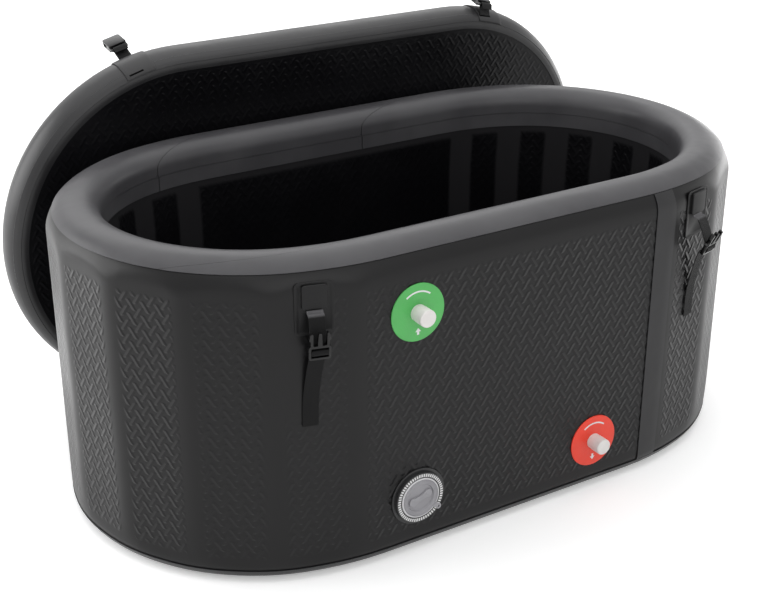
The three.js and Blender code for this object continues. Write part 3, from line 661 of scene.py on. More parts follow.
def wallProfiles():
    outer = upright(0.0, wall["bottom"] + wall["foot"], wall["top"] - wall["rimOuter"], wall["smoothFoot"], wall["smoothTop"])
    inner = upright(wall["thickness"], wall["bottom"], wall["top"] - wall["rimInner"], floorTop + 0.02, 0.05)
    foot = arc((wall["foot"], wall["bottom"] + wall["foot"]), wall["foot"], -90, 0, 6)
    rim = arc((wall["rimOuter"], wall["top"] - wall["rimOuter"]), wall["rimOuter"], 0, 90, 10)
    turnIn = arc((wall["thickness"] - wall["rimInner"], wall["top"] - wall["rimInner"]), wall["rimInner"], 90, 180, 8)
    return outer, inner, foot, rim, turnIn


def cutHoles(piece, holes, segments=48):
    # round holes, each (matrix, radius, start, end) along the matrix's Y
    for matrix, radius, start, end in holes:
        bm = bmesh.new()
        bmesh.ops.create_cone(bm, cap_ends=True, segments=segments, radius1=radius, radius2=radius, depth=end - start)
        turn = Matrix.Rotation(math.radians(90), 4, "X")
        moveBy(bm, matrix @ Matrix.Translation((0, (start + end) / 2, 0)) @ turn)
        cutAway(piece, bm)


def cutAway(piece, bm, layered=False, index=0):
    # the cut faces get the piece's material of that index
    for face in bm.faces:
        face.material_index = index
    mesh = bpy.data.meshes.new("drill")
    bm.to_mesh(mesh)
    bm.free()
    drill = bpy.data.objects.new("drill", mesh)
    bpy.context.scene.collection.objects.link(drill)
    modifier = piece.modifiers.new("hole", "BOOLEAN")
    modifier.object = drill
    modifier.solver = "EXACT"
    modifier.use_self = layered
    bpy.context.view_layer.update()
    cut = bpy.data.meshes.new_from_object(piece.evaluated_get(bpy.context.evaluated_depsgraph_get()))
    cut.set_sharp_from_angle(angle=math.radians(38))
    piece.modifiers.clear()
    piece.data = cut
    bpy.data.objects.remove(drill)


def transformed(bm, matrix):
    moveBy(bm, matrix)
    return bm


def boxMiddle(node):
    low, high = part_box(node)
    return (low + high) / 2


def buildWall():
    outer, inner, foot, rim, turnIn = wallProfiles()
    outside = [(i, z, 0) for i, z in foot[:-1]] + outer + [(i, z, 0) for i, z in rim[1:]]
    inside = [(i, z, 0) for i, z in turnIn] + inner[-2::-1]
    sections = ovalSections(tubOval, outside, wall["spacing"], smoothBand["outside"], rimEase)
    sections += ovalSections(tubOval, inside, wall["spacing"], smoothBand["inside"], rimEase)
    bm, layers, first, last = sweep(sections, True)
    mapFaces(bm, layers)
    bmesh.ops.recalc_face_normals(bm, faces=bm.faces)
    side = endOf(tubOval)[3]
    for face in bm.faces:
        middle = face.calc_center_median()
        outward = Vector((middle.x - max(-side, min(side, middle.x)), middle.y, 0.0)).normalized()
        face.material_index = 1 if face.normal.dot(outward) < -0.5 else 0
    piece = finishPiece("tubWall", bm, "tub", [outerSkin, innerSkin], ["tub_wall"])
    holes = []
    for name in ("inlet", "outlet"):
        spot = boxMiddle(name + "_disc")
        holes.append((Matrix.Translation((spot.x, frontFace, spot.z)), 0.0103, -0.01, wall["thickness"] + 0.01))
    spot = boxMiddle("tub_valve_back_nut")
    holes.append((Matrix.Translation((spot.x, frontFace, spot.z)), 0.0376, -0.01, 0.036))
    cutHoles(piece, holes)
    return piece


tubWall = buildWall()
print("tub wall", len(tubWall.data.polygons), "faces")


# Tapes, floor and base sheet

tape = {
    "thickness": 0.0015,
    "seamAngle": 41,  # up the rim's rounding, where the rim tape starts
    "footAngle": -20,
    "baseLap": 0.028,
    "weldLine": 0.027,  # from the flap's end up to where its lower layer starts
    "thinLayer": 0.0008,
}


def wallCurve(push, thin):
    # the rim tape's curve, pushed out from the wall's skin; the lower end of its flap is a thinner layer
    out = arc((wall["rimOuter"], wall["top"] - wall["rimOuter"]), wall["rimOuter"] + push, tape["seamAngle"], 90, 8)
    turnIn = arc((wall["thickness"] - wall["rimInner"], wall["top"] - wall["rimInner"]), wall["rimInner"] + push, 90, 180, 8)
    step = flapEnd + tape["weldLine"]
    flap = [(wall["thickness"] + push, step), (wall["thickness"] + thin, step - 0.0008), (wall["thickness"] + thin, flapEnd)]
    return out + turnIn + flap


def footCurve(push):
    lap = (wall["foot"] + tape["baseLap"], wall["bottom"] - push)
    return [lap] + arc((wall["foot"], wall["bottom"] + wall["foot"]), wall["foot"] + push, -90, tape["footAngle"], 8)


def tapeRing(name, node, outerCurve, innerCurve, material):
    profile = [(i, z, 0) for i, z in outerCurve + innerCurve[::-1]]
    bm, layers, first, last = sweep(ovalSections(tubOval, profile, 0.03, 0.0, rimEase), True)
    mapFaces(bm, layers)
    return finishPiece(name, bm, "tub", material, [node])


def rimJoints():
    # places round the rim, measured as its map is, where two lengths of tape meet
    length = ovalSections(tubOval, [(wall["rimOuter"], wall["top"], 0)])[0][0][1][2]
    return [length - 0.345, length - 1.24, 1.30]


lift = seatGap + tape["thickness"]
# painted sheen: the rim tape is coloured far paler than the other tapes, for the light that its rounded top catches
# from above
rimTapeLook = {
    **tapeLook,
    "dark": (0.050, 0.049, 0.053, 1.0),
    "light": (0.064, 0.063, 0.067, 1.0),
    "shadow": (0.012, 0.012, 0.013, 1.0),
    "gloss": 0.30,
    "joints": rimJoints(),
}
rimTapeSkin = tapeMaterial("rimTape", rimTapeLook)
tapeRing("rimTape", "rim_tape", wallCurve(lift, seatGap + tape["thinLayer"]), wallCurve(seatGap, seatGap), rimTapeSkin)
tapeRing("baseTape", "base_tape", footCurve(lift), footCurve(seatGap), plainTape)


def planarMap(bm, layers, matrix=Matrix.Identity(4)):
    for face in bm.faces:
        for loop in face.loops:
            spot = matrix @ loop.vert.co
            loop[layers["uv"]].uv = (spot.x, spot.y)


floor = {"edge": 0.010, "embossFrom": 0.030, "cap": 0.06}


def buildFloor():
    edge = wall["thickness"] + seatGap
    low, high = wall["bottom"], floorTop
    rounding = arc((edge + floor["edge"], high - floor["edge"]), floor["edge"], 0, 90, 5)
    profile = [(edge, low, 0)] + [(i, z, 0) for i, z in rounding]
    profile += [(edge + floor["embossFrom"], high, 0), (edge + floor["embossFrom"] + 0.008, high, 1), (edge + floor["cap"], high, 1)]
    sections = ovalSections(tubOval, profile, 0.04)
    for i, section in enumerate(sections):
        share = profile[i][2]
        sections[i] = [(point, spot, share) for point, spot, mask in section]
    bm, layers, first, last = sweep(sections, False)
    bmesh.ops.edgeloop_fill(bm, edges=first)
    bmesh.ops.edgeloop_fill(bm, edges=last)
    planarMap(bm, layers)
    bm.verts.layers.int.remove(layers["order"])
    return finishPiece("floorPanel", bm, "tub", innerSkin, ["floor_panel"])


def buildBaseSheet():
    low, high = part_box("base_sheet")
    edge = wall["foot"] + tape["baseLap"] + seatGap
    profile = [(edge + 0.0006, low.z, 0), (edge, low.z + 0.0006, 0), (edge, high.z, 0)]
    bm, layers, first, last = sweep(ovalSections(tubOval, profile, 0.03, 0.0, rimEase), False)
    bmesh.ops.edgeloop_fill(bm, edges=first)
    bmesh.ops.edgeloop_fill(bm, edges=last)
    planarMap(bm, layers)
    bm.verts.layers.int.remove(layers["order"])
    return finishPiece("baseSheet", bm, "tub", plainTape, ["base_sheet"])


buildFloor()
buildBaseSheet()

seam = {"low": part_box("seam_strip_outer")[0].x, "high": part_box("seam_strip_outer")[1].x, "columns": 8, "line": 0.014}


def frontLine(x, inset, height):
    # how far the wall's front has turned away from its flat at x, in the front right crease
    first, radius, step, side = endOf(tubOval)
    corners = insetCorners(tubOval, inset)
    run = creaseRun(tubOval, corners, rimEase(inset, height))
    t = max(0.0, (x - corners[0].x + run) / (2 * run))
    return t * t * run * math.sin(first + step / 2)


def stripSections(curve, bend):
    sections = []
    width = seam["high"] - seam["low"]
    for inset, z in curve:
        section = []
        for k in range(seam["columns"] + 1):
            x = seam["low"] + width * k / seam["columns"]
            section.append(((x, frontFace + inset + bend * frontLine(x, inset, z), z), (x, z, 0.0), 0.0))
        sections.append(section)
    return sections


def buildStrip(name, node, outerCurve, innerCurve, bend):
    # a flat strip: its front drawn down, round the end and up its back
    bm, layers, first, last = sweep(stripSections(outerCurve + innerCurve[::-1], bend), False, ring=False)
    bmesh.ops.bridge_loops(bm, edges=first + last)
    mapFaces(bm, layers)
    bmesh.ops.holes_fill(bm, edges=bm.edges, sides=0)
    bevelSharp(bm, 0.0004, 60, 1)
    return finishPiece(name, bm, "tub", plainTape, [node])


def seamCurve(push, margin):
    low = arc((wall["foot"], wall["bottom"] + wall["foot"]), wall["foot"] + push, tape["footAngle"] + margin, 0, 3)
    high = arc((wall["rimOuter"], wall["top"] - wall["rimOuter"]), wall["rimOuter"] + push, 0, tape["seamAngle"] - margin, 6)
    middle = straight(low[-1], high[0], 6)
    return low + middle[1:-1] + high


buildStrip("seamStripOuter", "seam_strip_outer", seamCurve(lift, 1), seamCurve(seatGap, 1), 1)
innerLow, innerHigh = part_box("seam_strip_inner")
innerFace = innerLow.y - frontFace
innerOut = straight((innerHigh.y - frontFace, innerLow.z), (innerHigh.y - frontFace, innerHigh.z), 4)
innerIn = straight((innerFace, innerLow.z), (innerFace, innerHigh.z), 4)
buildStrip("seamStripInner", "seam_strip_inner", innerOut, innerIn, 0)
print("tapes, floor and sheet")


# Water fittings: each is turned about Y, which runs into the wall from its outer face

fitting = {
    "bore": 0.007,
    "stem": 0.010,
    "fit": 0.0103,  # holes that the stem passes through
    "collar": 0.0135,
    "collarBack": -0.0026,
    "collarFront": -0.0046,
    "spigotEnd": -0.0246,
    "stemEnd": 0.1011,
    "threadPitch": 0.0025,
    "threadDepth": 0.0006,
    "disc": 0.047,
    "discBack": -0.0003,
    "discFront": -0.0023,
    "cap": 0.014,
    "capNeck": 0.0131,
    "capBack": -0.0049,
    "capRoof": -0.0249,
    "capFront": -0.0309,
    "washer": (0.0250, 0.0853, 0.0878),
    "nutFlats": 0.042,
    "nutSpan": (0.0881, 0.0971),
}


def bodyOf(node):
    return frame["nodes"][node].parent.name.removeprefix("body:")


def makePiece(name, bm, slot, material, *nodes, matrix=None, sharp=38):
    if matrix:
        moveBy(bm, matrix)
    return finishPiece(name, bm, bodyOf(nodes[0]), material, nodes, sharp)


def thread(radius, depth, start, end, pitch):
    # a ridged run of a turned profile
    count = round(abs(end - start) / pitch)
    points = []
    for i in range(count):
        a = start + (end - start) * i / count
        b = start + (end - start) * (i + 0.5) / count
        points += [(radius, a), (radius - depth, b)]
    return points + [(radius, end)]


def markedDisc(towardsCap):
    # a flat disc with a rounded edge, and a raised arc and arrow in place of lettering
    disc = turned([(fitting["fit"], fitting["discBack"]), (fitting["disc"], fitting["discBack"]),
                   (fitting["disc"], fitting["discFront"]), (fitting["fit"], fitting["discFront"])],
                  96, 0.0008, (2,))
    front = fitting["discFront"]
    mark = {"radius": 0.034, "width": 0.0026, "sweep": 76, "arrow": 0.0055, "reach": 0.031, "raise": 0.00025}
    arcMark = bmesh.new()
    corners = [(mark["radius"] - mark["width"] / 2, front + 0.0001), (mark["radius"] + mark["width"] / 2, front + 0.0001),
               (mark["radius"] + mark["width"] / 2, front - mark["raise"]), (mark["radius"] - mark["width"] / 2, front - mark["raise"])]
    face = arcMark.faces.new([arcMark.verts.new((r, y, 0)) for r, y in corners])
    start = Matrix.Rotation(math.radians(-90 + mark["sweep"] / 2), 4, "Y")
    moveBy(arcMark, start)
    bmesh.ops.spin(arcMark, geom=[face], cent=(0, 0, 0), axis=(0, 1, 0), dvec=(0, 0, 0),
                   angle=math.radians(-mark["sweep"]), steps=20)
    arrow = bmesh.new()
    tip = 1 if towardsCap else -1
    outline = [(0, tip), (-0.9, -0.1 * tip), (-0.34, -0.1 * tip), (-0.34, -tip), (0.34, -tip), (0.34, -0.1 * tip), (0.9, -0.1 * tip)]
    verts = [arrow.verts.new((x * mark["arrow"], front + 0.0001, -mark["reach"] + z * mark["arrow"])) for x, z in outline]
    sheet = arrow.faces.new(verts)
    grown = bmesh.ops.extrude_face_region(arrow, geom=[sheet])["geom"]
    bmesh.ops.translate(arrow, vec=(0, -mark["raise"] - 0.0001, 0), verts=[g for g in grown if isinstance(g, bmesh.types.BMVert)])
    for extra in (arcMark, arrow):
        for face in extra.faces:
            face.material_index = 1
        bmesh.ops.recalc_face_normals(extra, faces=extra.faces)
        joinMeshes(disc, extra)
    return disc


def lockNut(flats, hole, start, end):
    bm = bmesh.new()
    outer = bmesh.ops.create_circle(bm, segments=6, radius=flats / 2 / math.cos(math.pi / 6))["verts"]
    sides = list({e for v in outer for e in v.link_edges})
    bmesh.ops.subdivide_edges(bm, edges=sides, cuts=7)
    bmesh.ops.create_circle(bm, segments=48, radius=hole)
    bmesh.ops.bridge_loops(bm, edges=bm.edges)
    grown = bmesh.ops.extrude_face_region(bm, geom=bm.faces[:])["geom"]
    bmesh.ops.translate(bm, vec=(0, 0, end - start), verts=[g for g in grown if isinstance(g, bmesh.types.BMVert)])
    bmesh.ops.recalc_face_normals(bm, faces=bm.faces)
    bevelSharp(bm, 0.0006, 25, 2)
    moveBy(bm, Matrix.Translation((0, start, 0)) @ Matrix.Rotation(math.radians(-90), 4, "X"))
    return bm


def buildFitting(name, slot, material, towardsCap):
    spot = boxMiddle(name + "_disc")
    matrix = Matrix.Translation((spot.x, frontFace, spot.z))
    makePiece(name + "Disc", markedDisc(towardsCap), slot, [material, markInk], name + "_disc", matrix=matrix)
    f = fitting
    spigot = thread(f["stem"], f["threadDepth"], f["spigotEnd"] + 0.001, f["collarFront"] - 0.002, f["threadPitch"])
    inner = thread(f["stem"], f["threadDepth"], f["washer"][1], f["stemEnd"] - 0.001, f["threadPitch"])
    profile = [(f["bore"], f["spigotEnd"]), (f["stem"] - 0.0008, f["spigotEnd"])] + spigot
    profile += [(f["stem"], f["collarFront"]), (f["collar"], f["collarFront"]), (f["collar"], f["collarBack"])]
    profile += [(f["stem"], f["collarBack"])] + inner + [(f["stem"] - 0.0008, f["stemEnd"]), (f["bore"], f["stemEnd"])]
    makePiece(name + "Stem", turned(profile, 48), "white_plastic", whitePlastic, name + "_stem", matrix=matrix, sharp=30)
    cap = turned([(0, f["capFront"]), (f["cap"], f["capFront"]), (f["cap"], f["capBack"] - 0.0052), (f["capNeck"], f["capBack"] - 0.0044),
                  (f["capNeck"], f["capBack"]), (f["fit"], f["capBack"]), (f["fit"], f["capRoof"]), (0, f["capRoof"])],
                 64, 0.0022, (1,))
    makePiece(name + "Cap", cap, "white_plastic", whitePlastic, name + "_cap", matrix=matrix)
    radius, back, front = f["washer"]
    washer = turned([(f["fit"], back), (radius, back), (radius, front), (f["fit"], front)], 64, 0.0008, (1, 2))
    makePiece(name + "Washer", washer, "rubber", rubber, name + "_washer", matrix=matrix)
    nut = lockNut(f["nutFlats"], f["fit"], *f["nutSpan"])
    makePiece(name + "LockNut", nut, "white_plastic", whitePlastic, name + "_lock_nut", matrix=matrix)


buildFitting("inlet", "green_plastic", greenPlastic, True)
buildFitting("outlet", "red_plastic", redPlastic, False)
print("water fittings")


# Inflation valves

valve = {
    "guide": 0.0033,
    "socket": 0.026,
    "socketDepth": 0.022,
    "seatBack": 0.026,
    "ledge": -0.0035,
    "bezelInner": 0.0356,
    "bezel": 0.044,
    "bezelFront": -0.009,
    "flange": 0.049,
    "flangeFront": -0.0028,
    "barrel": 0.030,
    "vents": 6,
    "vent": 0.0026,
    "ventCircle": 0.010,
    "ticks": 58,
    "tick": (0.0052, 0.0004, 0.0025),
    "tickCircle": 0.0396,
    "capFront": -0.010,
    "capBack": -0.0056,
    "capRim": 0.0350,
    "capRing": 0.0326,  # inside of the pale ring round the cap's edge
    "grooves": [(0.0268, 0.0004), (0.0292, 0.0004), (0.0316, 0.0010)],  # radius and depth
    "plug": 0.0257,
    "plugEnd": 0.004,
    "recess": 0.025,
    "recessDepth": 0.003,
    "gripLength": 0.044,
    "gripWidth": 0.015,
    "gripWaist": 0.003,
    "gripProud": 0.0038,
    "gripTurn": 18,
    "eyeletTurn": -37,
    "eyelet": 0.005,
    "eyeletHole": 0.002,
    "eyeletCentre": 0.042,
    "eyeletSpan": (-0.0107, -0.0094),
    "headDepth": 0.009,
    "head": 0.008,
    "headBack": 0.012,
    "pin": 0.003,
    "seal": 0.014,
    "sealSpan": (0.0263, 0.0293),
    "spring": 0.0055,
    "wire": 0.00045,
    "springSpan": (0.0130, 0.0210),
    "springTurns": 3,
    "press": 0.005,
}


def valveBody():
    v = valve
    body = turned([(v["guide"], v["socketDepth"]), (v["socket"], v["socketDepth"]), (v["socket"], v["ledge"]),
                   (v["bezelInner"], v["ledge"]), (v["bezelInner"], v["bezelFront"]), (v["bezel"], v["bezelFront"]),
                   (v["bezel"] + 0.0005, v["flangeFront"]), (v["flange"], v["flangeFront"]), (v["flange"], -seatGap),
                   (v["barrel"], -seatGap), (v["barrel"], v["seatBack"]), (v["guide"], v["seatBack"])], 96, 0.0006, (4, 5, 7))
    return body


def valveTicks():
    # a ring of short bars on the bezel's face, in place of lettering
    v = valve
    bm = bmesh.new()
    bmesh.ops.create_cube(bm, size=1.0)
    bmesh.ops.scale(bm, vec=v["tick"], verts=bm.verts)
    bmesh.ops.translate(bm, vec=(v["tickCircle"], v["bezelFront"], 0), verts=bm.verts)
    step = 2 * math.pi / v["ticks"]
    bmesh.ops.spin(bm, geom=bm.verts[:] + bm.edges[:] + bm.faces[:], cent=(0, 0, 0), axis=(0, 1, 0), dvec=(0, 0, 0),
                   angle=2 * math.pi - step, steps=v["ticks"] - 1, use_duplicate=True)
    return bm


def gripBar():
    # a bar with round ends and a pinched waist, from a strip of faces
    v = valve
    bm = bmesh.new()
    bmesh.ops.create_grid(bm, x_segments=24, y_segments=2, size=1.0)
    half = v["gripWidth"] / 2
    for vert in bm.verts:
        along = vert.co.x * v["gripLength"] / 2
        past = max(0.0, abs(along) - v["gripLength"] / 2 + half)
        round_ = math.sqrt(max(0.0, half * half - past * past))
        waist = v["gripWaist"] * max(0.0, 1 - (abs(along) / (v["gripLength"] / 2 - half)) ** 2)
        vert.co = (along, vert.co.y * max(round_ - waist, 0.0006), 0)
    grown = bmesh.ops.extrude_face_region(bm, geom=bm.faces[:])["geom"]
    bmesh.ops.translate(bm, vec=(0, 0, v["gripProud"]), verts=[g for g in grown if isinstance(g, bmesh.types.BMVert)])
    bmesh.ops.recalc_face_normals(bm, faces=bm.faces)
    top = [e for e in bm.edges if all(u.co.z > v["gripProud"] - 1e-6 for u in e.verts) and e.calc_face_angle() > 0.5]
    bmesh.ops.bevel(bm, geom=top, offset=0.0012, offset_type="OFFSET", segments=3, profile=0.5, affect="EDGES", material=-1)
    floorLine = v["capFront"] + v["recessDepth"] + 0.0002
    moveBy(bm, Matrix.Rotation(math.radians(-v["gripTurn"]), 4, "Y") @ Matrix.Translation((0, floorLine, 0))
           @ Matrix.Rotation(math.radians(90), 4, "X"))
    return bm


def eyeletTab():
    v = valve
    start, end = v["eyeletSpan"]
    ring = turned([(v["eyeletHole"], start), (v["eyelet"], start), (v["eyelet"], end), (v["eyeletHole"], end)], 32, 0.0003, (0, 1))
    moveBy(ring, Matrix.Translation((v["eyeletCentre"], 0, 0)))
    root = bmesh.new()
    bmesh.ops.create_cube(root, size=1.0)
    reach = v["eyeletCentre"] - v["eyelet"] + 0.001 - v["capRing"]
    bmesh.ops.scale(root, vec=(reach, end - start - 0.0002, 0.008), verts=root.verts)
    bmesh.ops.translate(root, vec=(v["capRing"] + reach / 2, (start + end) / 2, 0), verts=root.verts)
    joinMeshes(ring, root)
    moveBy(ring, Matrix.Rotation(math.radians(-v["eyeletTurn"]), 4, "Y"))
    return ring


def valveCap():
    v = valve
    floorLine = v["capFront"] + v["recessDepth"]
    profile = [(0, floorLine), (v["recess"] - v["recessDepth"] * 0.6, floorLine), (v["recess"], v["capFront"])]
    for radius, groove in v["grooves"]:
        profile += [(radius - groove, v["capFront"]), (radius, v["capFront"] + groove), (radius + groove, v["capFront"])]
    profile += [(v["capRim"] - 0.0009, v["capFront"]), (v["capRim"], v["capFront"] + 0.0009), (v["capRim"], v["capBack"])]
    profile += [(v["plug"], v["capBack"]), (v["plug"], v["plugEnd"]), (0, v["plugEnd"])]
    cap = turned(profile, 96)
    for face in cap.faces:
        middle = face.calc_center_median()
        inRing = math.hypot(middle.x, middle.z) > v["capRing"] and middle.y < v["capFront"] + 0.001
        face.material_index = 1 if inRing else 0
    joinMeshes(cap, gripBar())
    joinMeshes(cap, eyeletTab())
    return cap


def valvePlunger():
    v = valve
    profile = [(0, v["headDepth"]), (v["head"], v["headDepth"]), (v["head"], v["headBack"]), (v["pin"], v["headBack"])]
    profile += [(v["pin"], v["sealSpan"][0]), (v["seal"], v["sealSpan"][0]), (v["seal"], v["sealSpan"][1]), (0, v["sealSpan"][1])]
    return turned(profile, 48, 0.0006, (1, 5, 6))


def valveSpring():
    v = valve
    start, end = v["springSpan"]
    bm = bmesh.new()
    bmesh.ops.create_circle(bm, cap_ends=True, segments=10, radius=v["wire"])
    bmesh.ops.translate(bm, vec=(v["spring"], start, 0), verts=bm.verts)
    steps = 28 * v["springTurns"]
    bmesh.ops.spin(bm, geom=bm.faces[:], cent=(0, 0, 0), axis=(0, 1, 0), dvec=(0, (end - start) / steps, 0),
                   angle=2 * math.pi * v["springTurns"], steps=steps)
    return bm


def buildValve(prefix, node, matrix):
    v = valve
    body = makePiece(prefix + "Body", valveBody(), "black_plastic", blackPlastic, node + "_body", matrix=matrix)
    vents = []
    for i in range(v["vents"]):
        turn = Matrix.Rotation(2 * math.pi * i / v["vents"], 4, "Y")
        vents.append((matrix @ turn @ Matrix.Translation((v["ventCircle"], 0, 0)), v["vent"], v["socketDepth"] - 0.001, v["seatBack"] + 0.001))
    cutHoles(body, vents, 16)
    ticks = finishPiece(prefix + "Ticks", transformed(valveTicks(), matrix), bodyOf(node + "_body"), markInk)
    nut = turned([(0.0303, 0.003), (0.0373, 0.003), (0.0373, 0.011), (0.0303, 0.011)], 64, 0.0008, (1, 2))
    makePiece(prefix + "BackNut", nut, "black_plastic", blackPlastic, node + "_back_nut", matrix=matrix)
    seal = turned([(0.027, -0.0053), (0.035, -0.0053), (0.035, -0.0038), (0.027, -0.0038)], 64, 0.0005, (0, 1, 2, 3))
    makePiece(prefix + "SealRing", seal, "rubber", rubber, node + "_seal_ring", matrix=matrix)
    makePiece(prefix + "Cap", valveCap(), "grey_plastic", [greyPlastic, paleRing], node + "_cap", matrix=matrix, sharp=30)
    makePiece(prefix + "Plunger", valvePlunger(), "black_plastic", blackPlastic, node + "_plunger", matrix=matrix)
    spring = makePiece(prefix + "Spring", valveSpring(), "steel", springSteel, node + "_spring", matrix=matrix)
    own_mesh(spring)


valveSpot = boxMiddle("tub_valve_back_nut")
buildValve("tubValve", "tub_valve", Matrix.Translation((valveSpot.x, frontFace, valveSpot.z)))
lidFrame = Matrix.Translation(boxMiddle("lid_edge_tape")) @ Matrix.Rotation(math.radians(96), 4, "X")
lidHalf = 0.0382
lidValveFrame = lidFrame @ Matrix.Translation((0.4805, 0, -lidHalf)) @ Matrix.Rotation(math.radians(90), 4, "X")
buildValve("lidValve", "lid_valve", lidValveFrame)
print("inflation valves")


# Straps

web = {"width": 0.025, "thickness": 0.0016, "split": 4, "edge": 0.0007}


def curvePoints(stations, split):
    # centripetal curve through the stations, with the way it runs at each point
    spots = [Vector(s) for s in stations]
    spots = [2 * spots[0] - spots[1]] + spots + [2 * spots[-1] - spots[-2]]
    points = []
    for i in range(1, len(spots) - 2):
        four = spots[i - 1:i + 3]
        knots = [0.0]
        for a, b in zip(four, four[1:]):
            knots.append(knots[-1] + math.sqrt((b - a).length))
        for k in range(split + (i == len(spots) - 3)):
            t = knots[1] + (knots[2] - knots[1]) * k / split
            level = four
            for reach in (1, 2, 3):
                level = [a + (b - a) * (t - knots[j]) / (knots[j + reach] - knots[j]) for j, (a, b) in enumerate(zip(level, level[1:]))] \
                    if reach == 1 else [a + (b - a) * (t - knots[low]) / (knots[high] - knots[low])
                                        for a, b, low, high in zip(level, level[1:], (0, 1) if reach == 2 else (1,), (2, 3) if reach == 2 else (2,))]
            points.append(level[0])
    return points


def ribbon(stations, matrix, drift=0.0, driftFrom=0):
    # flat webbing along a path drawn in (x, y), with its width along Z of the matrix;
    # past a station it drifts sideways
    points = curvePoints(stations, web["split"])
    steady = driftFrom * web["split"]
    half, thick, edge = web["width"] / 2, web["thickness"] / 2, web["edge"]
    across = [-half + edge + (web["width"] - 2 * edge) * i / 6 for i in range(7)]
    ring = [(-half, 0.0)] + [(a, thick) for a in across] + [(half, 0.0)] + [(a, -thick) for a in reversed(across)]
    sections = []
    along = 0.0
    for i, point in enumerate(points):
        ahead = points[min(i + 1, len(points) - 1)] - points[max(i - 1, 0)]
        ahead.normalize()
        if i:
            along += (point - points[i - 1]).length
        t = max(0.0, (i - steady) / (len(points) - 1 - steady))
        aside = drift * t * (2 - t)
        section = []
        for a, off in ring:
            spot = Vector((point.x - ahead.y * off, point.y + ahead.x * off, a + aside))
            section.append((matrix @ spot, (a, along, 0.0), 0.0))
        sections.append(section)
    bm, layers, first, last = sweep(sections, False)
    mapFaces(bm, layers)
    bmesh.ops.edgeloop_fill(bm, edges=first)
    bmesh.ops.edgeloop_fill(bm, edges=last)
    return bm


def buckleCopy(node, offset):
    # the moulded buckle, with its edges rounded
    bm = bmesh.new()
    bm.from_mesh(frame["nodes"][node].data)
    bmesh.ops.remove_doubles(bm, verts=bm.verts, dist=1e-6)
    bmesh.ops.dissolve_limit(bm, angle_limit=math.radians(1), verts=bm.verts, edges=bm.edges)
    bevelSharp(bm, offset, 30, 2)
    return bm


patch = {
    "half": 0.030,
    "below": -0.039,
    "above": 0.044,
    "radius": 0.008,
    "back": 0.0003,
    "front": 0.0018,
    "bead": 0.004,  # width of the raised weld round the plate's edge
    "coverHalf": 0.019,
    "coverLow": 0.0024,
    "coverHigh": 0.0402,
    "coverFront": 0.0054,
    "coverRadius": 0.004,
    "slotHalf": 0.013,
    "slotDepth": 0.006,
    "slotFront": 0.0036,
}


def roundedPlate(left, low, right, high, radius, back, front, edge):
    # drawn in x and z, thickness along -Y
    bm = bmesh.new()
    verts = [bm.verts.new((x, -back, z)) for x, z in ((left, low), (right, low), (right, high), (left, high))]
    bm.faces.new(verts)
    bmesh.ops.bevel(bm, geom=verts, offset=radius, offset_type="OFFSET", segments=6, profile=0.5, affect="VERTICES", material=-1)
    grown = bmesh.ops.extrude_face_region(bm, geom=bm.faces[:])["geom"]
    bmesh.ops.translate(bm, vec=(0, back - front, 0), verts=[g for g in grown if isinstance(g, bmesh.types.BMVert)])
    bmesh.ops.recalc_face_normals(bm, faces=bm.faces)
    rim = [e for e in bm.edges if all(abs(v.co.y + front) < 1e-7 for v in e.verts) and e.calc_face_angle() > 0.5]
    bmesh.ops.bevel(bm, geom=rim, offset=edge, offset_type="OFFSET", segments=3, profile=0.5, affect="EDGES", material=-1)
    return bm


def beadedPlate():
    # the welded plate, its border pressed a little lower than its middle
    p = patch
    plate = roundedPlate(-p["half"], p["below"], p["half"], p["above"], p["radius"], p["back"], p["front"], 0.0004)
    front = [f for f in plate.faces if f.normal.y < -0.99]
    bmesh.ops.inset_region(plate, faces=front, thickness=p["bead"], depth=0.0)
    inner = bmesh.ops.inset_region(plate, faces=front, thickness=0.0008, depth=-0.0006)
    return plate


def coverBlock():
    p = patch
    cover = roundedPlate(-p["coverHalf"], p["coverLow"], p["coverHalf"], p["coverHigh"], p["coverRadius"],
                         p["front"] - 0.0008, p["coverFront"], 0.0012)
    return cover


strapPlaces = {
    "front_left": {"end": -1, "side": -1, "swing": 23, "lean": 8, "drift": 0.010},
    "front_right": {"end": 1, "side": -1, "swing": 28, "lean": 25, "drift": 0.0},
    "back_left": {"end": -1, "side": 1, "swing": 7, "lean": 0, "drift": 0.0},
    "back_right": {"end": 1, "side": 1, "swing": 7, "lean": 0, "drift": 0.0},
}
strap = {"root": 0.0029, "reach": 0.060, "height": 0.461, "tailEnd": -0.187, "standOff": 0.0026}
strapFold = [(0.0026, -0.0031), (0.0056, -0.0036), (0.0095, -0.0056)]  # out of the slot, from the webbing's root


def strapFrame(place):
    first, radius, step, side = endOf(tubOval)
    facet = first + step / 2
    apothem = radius * math.cos(step / 2)
    spot = (place["end"] * (side + apothem * math.sin(facet)), place["side"] * apothem * math.cos(facet), strap["height"])
    turn = math.atan2(place["end"] * math.sin(facet), -place["side"] * math.cos(facet))
    return Matrix.Translation(spot) @ Matrix.Rotation(turn, 4, "Z")


